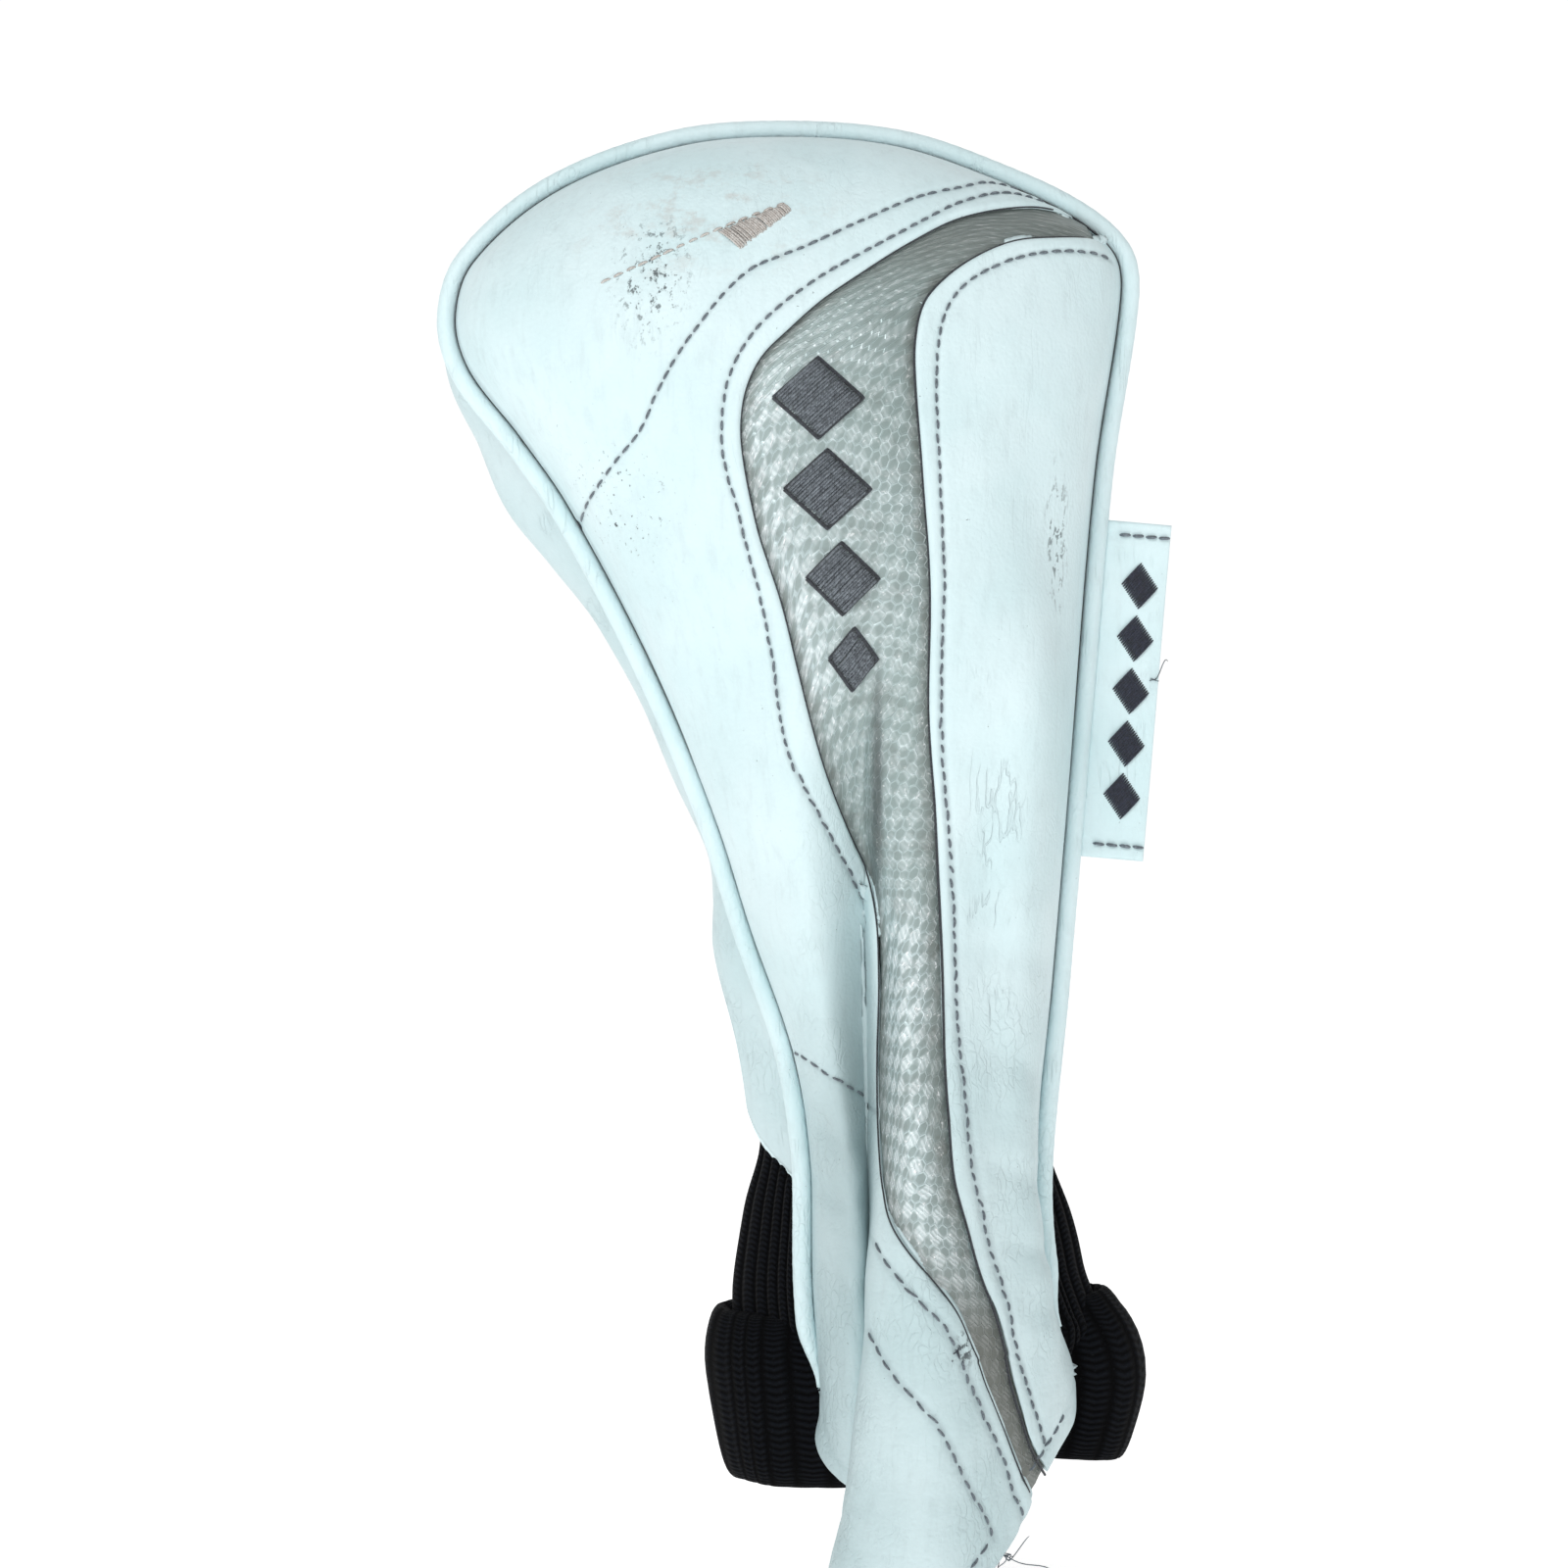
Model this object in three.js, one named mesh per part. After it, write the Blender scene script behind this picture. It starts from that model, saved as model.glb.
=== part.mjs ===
// Golf driver head cover: a padded leather shell over the club head, with a silver inlay, piped edges,
// a knitted sock at the back of the neck, a turned-up knit cuff and a folded side tag.
//
// Frame, in millimetres: +Z runs from the neck mouth to the toe end, -Y is the crown side (the front),
// +X is the face side of the club. The origin is at the neck mouth, level with the tip of the tongue.
import * as THREE from "three";

// Driving dimensions.
const PIPING_RADIUS = 2.2;
const SHELL_INSET = 2.5; // from the piping's centre line to the edge of the panels
const FRONT_GAP = 0.5; // the front panels start this far in front of the seam plane
const BACK_GAP = 1.3; // the back panels and the sock start this far behind it
const LEATHER = 1.4;
const FOAM = [3.4, 5.6]; // depth of the foam's outer and inner faces below the shell's surface
const LINING = [7.5, 9.5];
const SOCK = [3.5, 5.7];
const CUFF = { inner: 1.2, thick: 10, low: 25, high: 65, from: 0.09 };
const DOME_START = 262; // above this height the shell rounds over to the toe end
const THREAD_RADIUS = 0.45;
const THREAD_LIFT = 1.3;
const PATCH = [0.9, 1.7]; // embroidered patches lie between these heights above the shell
const INLAY_CLEAR = 0.4; // half the gap between the inlay and its neighbours
const SEAM_SKIP = 0.004; // share of the piping left free where two front panels meet at it
const UNDER_TOP = 0.02; // flat points stay this far below the top, where the shell has no width
const ROUNDING = 12; // half width over which an inner face comes in to its full depth

// Centre line of the piping, [x, z], from its end on the left of the neck, over the top, to its right end.
const PIPING_LINE = [
  [-30.8, 47.8], [-32.6, 72], [-33.1, 100], [-37, 124], [-46, 150], [-55.2, 178.5], [-69.6, 212.4],
  [-87.6, 246.3], [-98.5, 262], [-110.3, 277.5], [-113.6, 290], [-109.5, 303.6], [-90.3, 320.3],
  [-62, 331], [-36.8, 333.2], [-10, 331], [12, 323.6], [30.8, 314.5], [40.3, 305.5], [41.8, 295],
  [36, 255.4], [31.2, 200], [26.1, 139.2], [22, 97], [23.4, 74], [27.7, 61.4],
];
const SIDE_EDGES = { left: [-31, 0], right: [30.5, 50] }; // [x, z] where the tongue's side edges end

// Height of the shell's front and back above the seam plane, and how far the back bulges past the seam,
// as [z, value].
const FRONT_DEPTH = [[0, 24], [60, 24], [110, 25], [150, 29], [190, 34], [230, 38], [260, 39]];
const LINED_DEPTH = [[0, 15], [140, 15], [175, 20], [205, 31], [230, 37], [260, 39]];
const BACK_DEPTH = [[20, 31], [60, 34], [110, 37], [150, 42], [190, 47], [230, 51], [260, 51]];
const LEFT_BULGE = [
  [20, 14], [64, 17], [85, 15], [100, 12.5], [130, 12], [146, 9.5], [158, 6], [170, 4], [195, 6],
  [222, 7], [236, 11], [250, 14], [266, 9], [283, 4], [300, 2], [333, 0],
];
const RIGHT_BULGE = [[20, 9], [66, 10], [84, 9], [98, 5.5], [112, 3], [140, 2], [333, 0.5]];

// The long fold of the neck: its line, the height of its ridge on the right, the depth of its dip.
const FOLD_X = [[0, -27], [26, -22.6], [42, -20.3], [64, -17.8], [98, -15.5], [143, -15.1], [223, -14.6]];
const RIDGE_HEIGHT = [[0, 22], [40, 20], [100, 18], [140, 17], [170, 12], [200, 5], [228, 0]];
const DIP_DEPTH = [[0, 7], [150, 7], [180, 5], [210, 2], [240, 0]];

// Edges of the silver inlay, [x, z] from the hem to the piping, and the hem of the tongue.
const INLAY_LEFT = [
  [14.8, 29], [9.2, 48.6], [2, 67.3], [-5, 78.8], [-13, 92], [-15.5, 112], [-15.5, 140], [-18, 161],
  [-26.9, 191.7], [-37.6, 227.8], [-45.4, 252], [-45.6, 266], [-41.9, 276.6], [-19.8, 294.7],
  [1.7, 307.9], [17.9, 312.3], [27.5, 311.6],
];
const INLAY_RIGHT = [
  [20, 34], [14.2, 47.5], [7.3, 71.9], [1.3, 92], [-2.1, 115], [-3.8, 155], [-5.6, 215], [-8.6, 269],
  [-8.7, 283], [-1.9, 294.3], [12, 303], [25, 306], [33.5, 304.5],
];
const HEM = [
  [-31, 45], [-26, 33], [-20, 16], [-12, 3], [-5, 0], [1, 8], [7, 18.5], [15, 29], [20, 34], [27, 41],
  [30.5, 50],
];

// Lower edge of the back panels: an arch between the two side seams.
const ARCH = { left: 97, right: 117, rise: 58 };
const BINDING = { radius: 1.1, drop: 2.7, depth: 0.5 };
const GUSSET_SHARE = 0.5; // the gusset takes this share of the back's half width
const GUSSET_TOP = 0.7; // and reaches down to this share of the dome's height
const GUSSET_LIFT = 4; // its ends start this far above the arch, clear of the binding
const SEAM_GAP = 0.02; // share of the gusset's width left open at the sole seam
const SOLE_GAP = 0.008; // share of the back left open on each side of the sole panel
const LAYER_RISE = { front: 4, back: 16 }; // the inner layers start this far above the hem and the arch

// Decorative seams on the left panel and the row above the hem, [x, z].
const ACCENT_UPPER = [
  [-82.3, 243.8], [-73.2, 255.3], [-64, 269], [-55.3, 283.6], [-43.6, 295.7], [-19.7, 307.3],
  [2, 316.7], [8, 318.6],
];
const ACCENT_LOWER = [[-14.3, 60.8], [-7.8, 52.5], [-3.9, 47], [0.5, 37.7], [4.9, 29.4], [7, 24]];
const HEM_STITCH = [[1, 18], [8, 27], [14, 36], [19, 41.5], [24, 46]];

// Raised satin-stitch lozenges down the inlay: [x, z, half width, half height].
const LOZENGES = [
  [-29.5, 267, 9.6, 8.6],
  [-27.5, 247.5, 9.2, 8.4],
  [-24.5, 228.5, 8, 7.6],
  [-21.5, 211.5, 6.2, 6.6],
];

// The side tag: its fixed edge from low to high, [x, z], its width, thickness and place, and its motifs.
const TAG = {
  low: [31.7, 168], high: [38.3, 244.5], wide: 12.4, thick: 1.8, y: 0.9, motif: 5, step: 12, stitchIn: 3.2,
};

const WHITE = { color: 0xd6eeef, roughness: 0.55, metalness: 0 };
const SILVER = { color: 0xaebfc0, roughness: 0.35, metalness: 0.6 };
const KNIT = { color: 0x0a0b0d, roughness: 0.95, metalness: 0 };
const FLEECE = { color: 0x3a3d42, roughness: 1, metalness: 0 };
const SPONGE = { color: 0xd8d6c8, roughness: 1, metalness: 0 };
const GREY_THREAD = { color: 0x6f7780, roughness: 0.6, metalness: 0 };
const SLATE_THREAD = { color: 0x5d646c, roughness: 0.5, metalness: 0 };
const NAVY_THREAD = { color: 0x1c2233, roughness: 0.5, metalness: 0 };
const TAUPE_THREAD = { color: 0xa79c94, roughness: 0.6, metalness: 0 };

const cover = new THREE.Group();

function add(name, look, geometry) {
  const mesh = new THREE.Mesh(geometry, new THREE.MeshStandardMaterial(look));
  mesh.name = name;
  cover.add(mesh);
  return mesh;
}

const mix = (a, b, t) => a + (b - a) * t;
const clamp = (v) => Math.min(Math.max(v, 0), 1);
const ease = (from, to, v) => {
  const t = clamp((v - from) / (to - from));
  return t * t * (3 - 2 * t);
};

// A smooth value through [t, v] pairs: a cubic between two pairs, sloped at each like its neighbours' chord.
function through(pairs, t) {
  const last = pairs.length - 1;
  if (t <= pairs[0][0]) return pairs[0][1];
  if (t >= pairs[last][0]) return pairs[last][1];
  let i = 0;
  while (t > pairs[i + 1][0]) i++;
  const slope = (k) => {
    const [a, b] = [pairs[Math.max(k - 1, 0)], pairs[Math.min(k + 1, last)]];
    return (b[1] - a[1]) / (b[0] - a[0]);
  };
  const h = pairs[i + 1][0] - pairs[i][0];
  const s = (t - pairs[i][0]) / h;
  const [s2, s3] = [s * s, s * s * s];
  return (2 * s3 - 3 * s2 + 1) * pairs[i][1] + (s3 - 2 * s2 + s) * h * slope(i)
    + (3 * s2 - 2 * s3) * pairs[i + 1][1] + (s3 - s2) * h * slope(i + 1);
}

// A smooth line through [x, z] points as a function of the share of its length.
function lineThrough(points) {
  const at = [0];
  for (let i = 1; i < points.length; i++) {
    at.push(at[i - 1] + Math.hypot(points[i][0] - points[i - 1][0], points[i][1] - points[i - 1][1]));
  }
  const whole = at[at.length - 1];
  const xs = points.map((p, i) => [at[i], p[0]]);
  const zs = points.map((p, i) => [at[i], p[1]]);
  return (share) => [through(xs, share * whole), through(zs, share * whole)];
}

// The same line moved sideways: to its left where distance is positive.
function beside(line, distance) {
  const step = 1e-3;
  return (share) => {
    const [x, z] = line(share);
    const [ax, az] = line(clamp(share - step));
    const [bx, bz] = line(clamp(share + step));
    const long = Math.hypot(bx - ax, bz - az);
    return [x - ((bz - az) / long) * distance, z + ((bx - ax) / long) * distance];
  };
}

// The edge of the panels, as a line and as the x of its left and right sides at each height.
const pipingLine = lineThrough(PIPING_LINE);
const panelEdge = beside(pipingLine, -SHELL_INSET);
const EDGE_STEPS = 600;
const edgePoints = Array.from({ length: EDGE_STEPS + 1 }, (_, i) => panelEdge(i / EDGE_STEPS));
const topIndex = edgePoints.reduce((best, p, i) => (p[1] > edgePoints[best][1] ? i : best), 0);
const TOP_Z = edgePoints[topIndex][1];
const leftSide = edgePoints.slice(0, topIndex + 1);
const rightSide = edgePoints.slice(topIndex).reverse();

function xAt(side, endX, z) {
  if (z <= side[0][1]) return mix(endX, side[0][0], ease(0, side[0][1], z));
  let [low, high] = [0, side.length - 1];
  while (high - low > 1) {
    const middle = (low + high) >> 1;
    if (side[middle][1] < z) low = middle;
    else high = middle;
  }
  const [a, b] = [side[low], side[high]];
  return mix(a[0], b[0], clamp((z - a[1]) / (b[1] - a[1] || 1)));
}

// Middle and half width of the shell at a height, depth millimetres inside its surface.
function span(z, depth) {
  const left = xAt(leftSide, SIDE_EDGES.left[0] + SHELL_INSET, z);
  const right = xAt(rightSide, SIDE_EDGES.right[0], z);
  const half = Math.max((right - left) / 2, 0);
  return [(left + right) / 2, half - depth * Math.tanh(half / ROUNDING)];
}

const dome = (z) => Math.sqrt(1 - clamp((z - DOME_START) / (TOP_Z - DOME_START)) ** 2);
// A face depth millimetres inside the shell has a top that is that much lower.
const sink = (z, depth) =>
  z <= DOME_START ? z : mix(DOME_START, TOP_Z - depth, (z - DOME_START) / (TOP_Z - DOME_START));

// The front: q runs from the left seam to the right one, and depth is measured into the shell.
function frontPoint(q, z, depth, folded) {
  const [middle, half] = span(z, depth);
  const x = middle + (2 * q - 1) * half;
  const crown = (1 - Math.abs(2 * q - 1) ** 2.4) ** 0.62;
  let height = (through(folded ? FRONT_DEPTH : LINED_DEPTH, z) - depth) * crown;
  if (folded) {
    const fold = through(FOLD_X, z);
    const right = middle + half - fold;
    const ridge = ease(-5, 6, x - fold) * (1 - ease(0.25 * right, 0.95 * right, x - fold));
    const dip = Math.exp(-(((x - fold + 6) / 7) ** 2)) * (1 - ease(0, 6, x - fold)) * ease(0, 0.3, q);
    height += through(RIDGE_HEIGHT, z) * ridge - through(DIP_DEPTH, z) * dip;
  }
  return new THREE.Vector3(x, -FRONT_GAP - height * dome(z), sink(z, depth));
}

// The back: the section runs back from the left seam, past the bulge, across and forward to the right seam.
function backPoint(q, z, depth) {
  const [middle, half] = span(z, depth);
  const [left, right] = [middle - half, middle + half];
  const deep = (through(BACK_DEPTH, z) - depth) * dome(z);
  const [bulgeL, bulgeR] = [through(LEFT_BULGE, z), through(RIGHT_BULGE, z)];
  const stops = [
    [left, 0], [left - 0.35 * bulgeL, 0.14], [left - bulgeL, 0.38], [left + 0.2 * half - 0.5 * bulgeL, 0.74],
    [left + 0.6 * half, 0.96], [middle, 1], [right - 0.6 * half, 0.96],
    [right - 0.2 * half + 0.5 * bulgeR, 0.74], [right + bulgeR, 0.38], [right + 0.35 * bulgeR, 0.14],
    [right, 0],
  ];
  const along = q * (stops.length - 1);
  const x = through(stops.map((p, i) => [i, p[0]]), along);
  const y = BACK_GAP + deep * through(stops.map((p, i) => [i, p[1]]), along);
  return new THREE.Vector3(x, y, sink(z, depth));
}

// The share across the shell of a flat point [x, z].
function across([x, z]) {
  const [middle, half] = span(Math.min(z, TOP_Z - UNDER_TOP), 0);
  return clamp(0.5 + (x - middle) / (2 * Math.max(half, 0.01)));
}
const onFront = (flat, depth) => frontPoint(across(flat), Math.min(flat[1], TOP_Z - UNDER_TOP), depth, true);
const onBack = (flat, depth) => backPoint(across(flat), Math.min(flat[1], TOP_Z - UNDER_TOP), depth);

// A closed sheet: a flat box whose corners are bent to place(u, v, w), with w from inside to outside.
function bentSheet(uSteps, vSteps, place) {
  const box = new THREE.BoxGeometry(1, 1, 1, uSteps, vSteps, 1);
  const at = box.getAttribute("position");
  for (let i = 0; i < at.count; i++) {
    const p = place(at.getX(i) + 0.5, at.getY(i) + 0.5, at.getZ(i) + 0.5);
    at.setXYZ(i, p.x, p.y, p.z);
  }
  box.deleteAttribute("uv");
  box.computeVertexNormals();
  return box;
}

// A flat patch ruled from line a to line b, crowded towards the seams, where the shell is steep.
function ruled(a, b, steepA, steepB) {
  return (u, v) => {
    let t = u;
    if (steepA && steepB) t = (1 - Math.cos(Math.PI * u)) / 2;
    else if (steepA) t = 1 - Math.cos((Math.PI / 2) * u);
    else if (steepB) t = Math.sin((Math.PI / 2) * u);
    const [p, r] = [a(v), b(v)];
    return [mix(p[0], r[0], t), mix(p[1], r[1], t)];
  };
}

// Bends the lowest part of a patch down to the hem of the tongue.
function hemmed(patch) {
  return (u, v) => {
    const [x, z] = patch(u, v);
    const start = patch(u, 0);
    const drop = (through(HEM, start[0]) - start[1]) * (1 - ease(0, 0.3, v));
    return [x, z + drop];
  };
}

// A thin thread along a flat line on the front: a four-sided tube that stands clear of the leather.
function threadOnFront(flatLine, steps) {
  const points = Array.from({ length: steps + 1 }, (_, i) => onFront(flatLine(i / steps), -THREAD_LIFT));
  return cord(points, THREAD_RADIUS, 4, steps);
}

function cord(points, radius, sides, steps) {
  const section = new THREE.Shape();
  for (let i = 0; i < sides; i++) {
    const turn = (2 * Math.PI * i) / sides;
    section[i ? "lineTo" : "moveTo"](radius * Math.cos(turn), radius * Math.sin(turn));
  }
  const extrudePath = new THREE.CatmullRomCurve3(points);
  return new THREE.ExtrudeGeometry(section, { steps, extrudePath, bevelEnabled: false });
}

const part = (line, from, to) => (share) => line(mix(from, to, share));

// --- Front of the shell -------------------------------------------------------------------------------

const inlayLeft = lineThrough(INLAY_LEFT);
const inlayRight = lineThrough(INLAY_RIGHT);

// The share of the panel edge's length where it passes nearest to a flat point.
function shareNear([x, z]) {
  const gap = (p) => Math.hypot(p[0] - x, p[1] - z);
  return edgePoints.reduce((best, p, i) => (gap(p) < gap(edgePoints[best]) ? i : best), 0) / EDGE_STEPS;
}

function frontPanels() {
  const endLeft = shareNear(inlayLeft(1)) - SEAM_SKIP;
  const startRight = shareNear(inlayRight(1)) + SEAM_SKIP;
  const leftEdge = (v) => panelEdge(mix(0, endLeft, v));
  const rightEdge = (v) => panelEdge(mix(1, startRight, v));
  const leftPatch = hemmed(ruled(leftEdge, beside(inlayLeft, INLAY_CLEAR), true, false));
  const [inlayA, inlayB] = [beside(inlayLeft, -INLAY_CLEAR), beside(inlayRight, INLAY_CLEAR)];
  const inlayPatch = hemmed(ruled(inlayA, inlayB, false, false));
  const rightPatch = hemmed(ruled(beside(inlayRight, -INLAY_CLEAR), rightEdge, false, true));
  const panel = (patch) => (u, v, w) => onFront(patch(u, v), LEATHER * (1 - w));
  add("crown_panel_left", WHITE, bentSheet(10, 26, panel(leftPatch)));
  add("silver_inlay_panel", SILVER, bentSheet(4, 26, panel(inlayPatch)));
  add("crown_panel_right", WHITE, bentSheet(7, 24, panel(rightPatch)));
}

// --- Back of the shell --------------------------------------------------------------------------------

const archHeight = (q) => mix(ARCH.left, ARCH.right, q) + ARCH.rise * Math.sin(Math.PI * q);

// Heights in the dome, drawn down to leave room for the gusset over the top.
const underGusset = (z) => {
  const share = (z - DOME_START) / (TOP_Z - DOME_START);
  return z <= DOME_START ? z : mix(DOME_START, TOP_Z, share * GUSSET_TOP);
};

// The seam between the gusset and the sole panel: the panel edge drawn in towards the middle.
function drawnIn([x, z]) {
  const [middle] = span(Math.min(z, TOP_Z - UNDER_TOP), 0);
  return [mix(middle, x, GUSSET_SHARE), underGusset(z)];
}

function backPanels() {
  const quarter = (1 - GUSSET_SHARE) / 2;
  const [seamL, seamR] = [archHeight(quarter), archHeight(1 - quarter)];
  const shareAt = (side, z) => shareNear([xAt(side, 0, z), z]);
  const [startL, startR] = [ARCH.left + GUSSET_LIFT, ARCH.right + GUSSET_LIFT];
  const outer = part(panelEdge, shareAt(leftSide, startL), shareAt(rightSide, startR));
  const inner = part((s) => drawnIn(panelEdge(s)), shareAt(leftSide, seamL), shareAt(rightSide, seamR));
  const band = (u, v, w) => {
    const t = (1 - Math.cos((Math.PI / 2) * u)) * (1 - SEAM_GAP);
    const [p, r] = [outer(v), inner(v)];
    return onBack([mix(p[0], r[0], t), mix(p[1], r[1], t)], LEATHER * w);
  };
  add("gusset_band", WHITE, bentSheet(8, 40, band));
  const sole = (u, v, w) => {
    const q = mix(1 - quarter - SOLE_GAP, quarter + SOLE_GAP, u);
    const low = archHeight(q);
    const reach = mix(low, TOP_Z - 3, 1 - (1 - v) ** 1.6);
    const [middle, half] = span(reach, 0);
    return onBack([middle + (2 * q - 1) * half, underGusset(reach)], LEATHER * (1 - w));
  };
  add("sole_panel", WHITE, bentSheet(8, 14, sole));
  const steps = 30;
  const binding = Array.from({ length: steps + 1 }, (_, i) => {
    const q = mix(0.03, 0.97, i / steps);
    const [a, b] = [q - 0.01, q + 0.01].map((at) => backPoint(at, archHeight(at), 0));
    const level = Math.hypot(b.x - a.x, b.y - a.y) / a.distanceTo(b);
    return backPoint(q, archHeight(q) - BINDING.drop / level, BINDING.depth);
  });
  add("arch_binding", WHITE, cord(binding, BINDING.radius, 6, steps));
}

// --- Inner layers -------------------------------------------------------------------------------------

function innerLayer(name, look, [outside, inside], isFront) {
  const place = (u, v, w) => {
    const share = (1 - Math.cos(Math.PI * u)) / 2;
    const q = isFront ? mix(0.02, 0.98, share) : mix(0.98, 0.02, share);
    const [middle, half] = span(100, 0);
    const low = isFront
      ? through(HEM, middle + (2 * q - 1) * half) + LAYER_RISE.front
      : archHeight(q) + LAYER_RISE.back;
    const z = mix(low, TOP_Z - 0.6, 1 - (1 - v) ** 1.7);
    const depth = mix(inside, outside, w);
    return isFront ? frontPoint(q, z, depth, false) : backPoint(q, z, depth);
  };
  add(name, look, bentSheet(14, isFront ? 18 : 16, place));
}

// --- Knit ---------------------------------------------------------------------------------------------

function knitSock() {
  const place = (u, v, w) => {
    const q = mix(1, 0, u);
    return backPoint(q, mix(CUFF.low + 2, archHeight(q) + 8, v), mix(SOCK[1], SOCK[0], w));
  };
  add("knit_sock", KNIT, bentSheet(18, 8, place));
}

function knitCuff() {
  const place = (u, v, w) => {
    const q = mix(1 - CUFF.from, CUFF.from, u);
    const round = Math.sin(Math.PI * mix(0.06, 0.94, v)) ** 0.5;
    const z = mix(CUFF.low, CUFF.high, v);
    return backPoint(q, z, mix(CUFF.inner, CUFF.inner - CUFF.thick * round, w));
  };
  add("knit_cuff", KNIT, bentSheet(18, 6, place));
}

// --- Piping, stitching and embroidery -----------------------------------------------------------------

function pipingAndStitches() {
  const steps = 72;
  const points = Array.from({ length: steps + 1 }, (_, i) => {
    const [x, z] = pipingLine(i / steps);
    return new THREE.Vector3(x, 0, z);
  });
  add("perimeter_piping", WHITE, cord(points, PIPING_RADIUS, 8, steps));
  const rows = {
    inlay_stitch_left_upper: [beside(inlayLeft, 4.2), 0.54, 0.95, 22],
    inlay_stitch_left_lower: [beside(inlayLeft, 4.5), 0.02, 0.19, 10],
    inlay_stitch_right: [beside(inlayRight, -4.5), 0.06, 0.975, 40],
    accent_stitch_upper: [lineThrough(ACCENT_UPPER), 0.01, 0.99, 24],
    accent_stitch_lower: [lineThrough(ACCENT_LOWER), 0.02, 0.9, 10],
    hem_stitch_right: [lineThrough(HEM_STITCH), 0, 1, 8],
  };
  for (const [name, [line, from, to, rowSteps]] of Object.entries(rows)) {
    add(name, GREY_THREAD, threadOnFront(part(line, from, to), rowSteps));
  }
}

function embroidery() {
  LOZENGES.forEach(([x, z, wide, high], i) => {
    const place = (u, v, w) => {
      const [a, b] = [u - 0.5, v - 0.5];
      return onFront([x + (a - b) * wide, z + (a + b) * high], -mix(PATCH[0], PATCH[1], w));
    };
    add(`inlay_lozenge_${i + 1}`, SLATE_THREAD, bentSheet(3, 3, place));
  });
  const pole = lineThrough([[-76, 292], [-56, 301], [-36, 309.5]]);
  add("flag_pole_embroidery", TAUPE_THREAD, threadOnFront(pole, 10));
  const pennant = (u, v, w) => {
    const [px, pz] = pole(mix(0.62, 0.98, v));
    const reach = mix(5.5, 1.5, v) * u + 1.2;
    return onFront([px + reach * 0.9, pz - reach * 0.75], -mix(PATCH[0], PATCH[1], w));
  };
  add("flag_pennant_embroidery", TAUPE_THREAD, bentSheet(2, 3, pennant));
}

// --- Side tag -----------------------------------------------------------------------------------------

function sideTag() {
  const [dx, dz] = [TAG.high[0] - TAG.low[0], TAG.high[1] - TAG.low[1]];
  const long = Math.hypot(dx, dz);
  const holder = new THREE.Group();
  holder.position.set((TAG.low[0] + TAG.high[0]) / 2, TAG.y, (TAG.low[1] + TAG.high[1]) / 2);
  holder.rotation.y = Math.atan2(dx, dz);
  cover.add(holder);
  const plate = (name, look, wide, thick, tall, x, y, z) => {
    const shape = new THREE.BoxGeometry(wide, thick, tall);
    const mesh = new THREE.Mesh(shape, new THREE.MeshStandardMaterial(look));
    mesh.name = name;
    mesh.position.set(x, y, z);
    holder.add(mesh);
    return mesh;
  };
  const middle = TAG.thick / 2 + TAG.wide / 2;
  plate("side_tag", WHITE, TAG.wide, TAG.thick, long, middle, 0, 0);
  const face = -TAG.thick / 2 - 0.35;
  for (const [end, side] of [["top", 1], ["bottom", -1]]) {
    const up = side * (long / 2 - TAG.stitchIn);
    plate(`tag_stitch_${end}`, GREY_THREAD, TAG.wide - 1.5, 0.3, 0.7, middle, face - 0.15, up);
  }
  for (let i = 0; i < TAG.motif; i++) {
    const z = (i - (TAG.motif - 1) / 2) * TAG.step;
    const mesh = plate(`tag_lozenge_${i + 1}`, NAVY_THREAD, 4.6, 0.5, 4.6, middle, face - 0.25, z);
    mesh.rotation.y = Math.PI / 4;
  }
}

frontPanels();
backPanels();
innerLayer("front_foam", SPONGE, FOAM, true);
innerLayer("back_foam", SPONGE, FOAM, false);
innerLayer("front_lining", FLEECE, LINING, true);
innerLayer("back_lining", FLEECE, LINING, false);
knitSock();
knitCuff();
pipingAndStitches();
embroidery();
sideTag();

export default cover;
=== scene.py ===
# %% [markdown]
# # A golf driver head cover
#
# A head cover is a padded leather pocket for the club's head, with a long neck that grips the shaft. Its
# white panels meet a silver inlay, a piped seam runs round the outline, and black ribbed knit closes the
# neck. Each cell makes one piece, and says how the real one is sewn.

# %% Load the fixed frame
import bpy
import numpy as np
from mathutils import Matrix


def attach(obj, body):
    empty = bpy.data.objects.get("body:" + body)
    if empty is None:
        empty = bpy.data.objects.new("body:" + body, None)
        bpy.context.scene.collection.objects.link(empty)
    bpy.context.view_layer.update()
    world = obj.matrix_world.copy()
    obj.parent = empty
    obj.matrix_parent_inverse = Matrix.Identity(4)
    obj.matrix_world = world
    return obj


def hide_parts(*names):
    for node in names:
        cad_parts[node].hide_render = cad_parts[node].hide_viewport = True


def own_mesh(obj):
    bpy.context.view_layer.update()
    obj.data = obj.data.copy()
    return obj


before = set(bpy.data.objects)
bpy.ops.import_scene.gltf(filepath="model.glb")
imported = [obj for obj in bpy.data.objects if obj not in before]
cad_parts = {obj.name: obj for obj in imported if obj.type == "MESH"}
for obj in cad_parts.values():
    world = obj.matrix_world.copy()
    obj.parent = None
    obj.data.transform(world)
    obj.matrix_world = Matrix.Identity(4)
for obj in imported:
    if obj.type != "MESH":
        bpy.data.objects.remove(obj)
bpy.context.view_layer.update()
rng = np.random.default_rng(7)

# %% [markdown]
# ## Curves
#
# Everything is measured in millimetres, along +Z up the club and +X to the side with the tag. A smooth
# curve through a few chosen values does most of the work: it draws the seams, and it says how deep the
# shell is at each height.

# %% Small curve tools
MM = 0.001


def mix(a, b, t):
    """A straight blend: a where t is 0, b where t is 1."""
    return a + (b - a) * t


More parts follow.
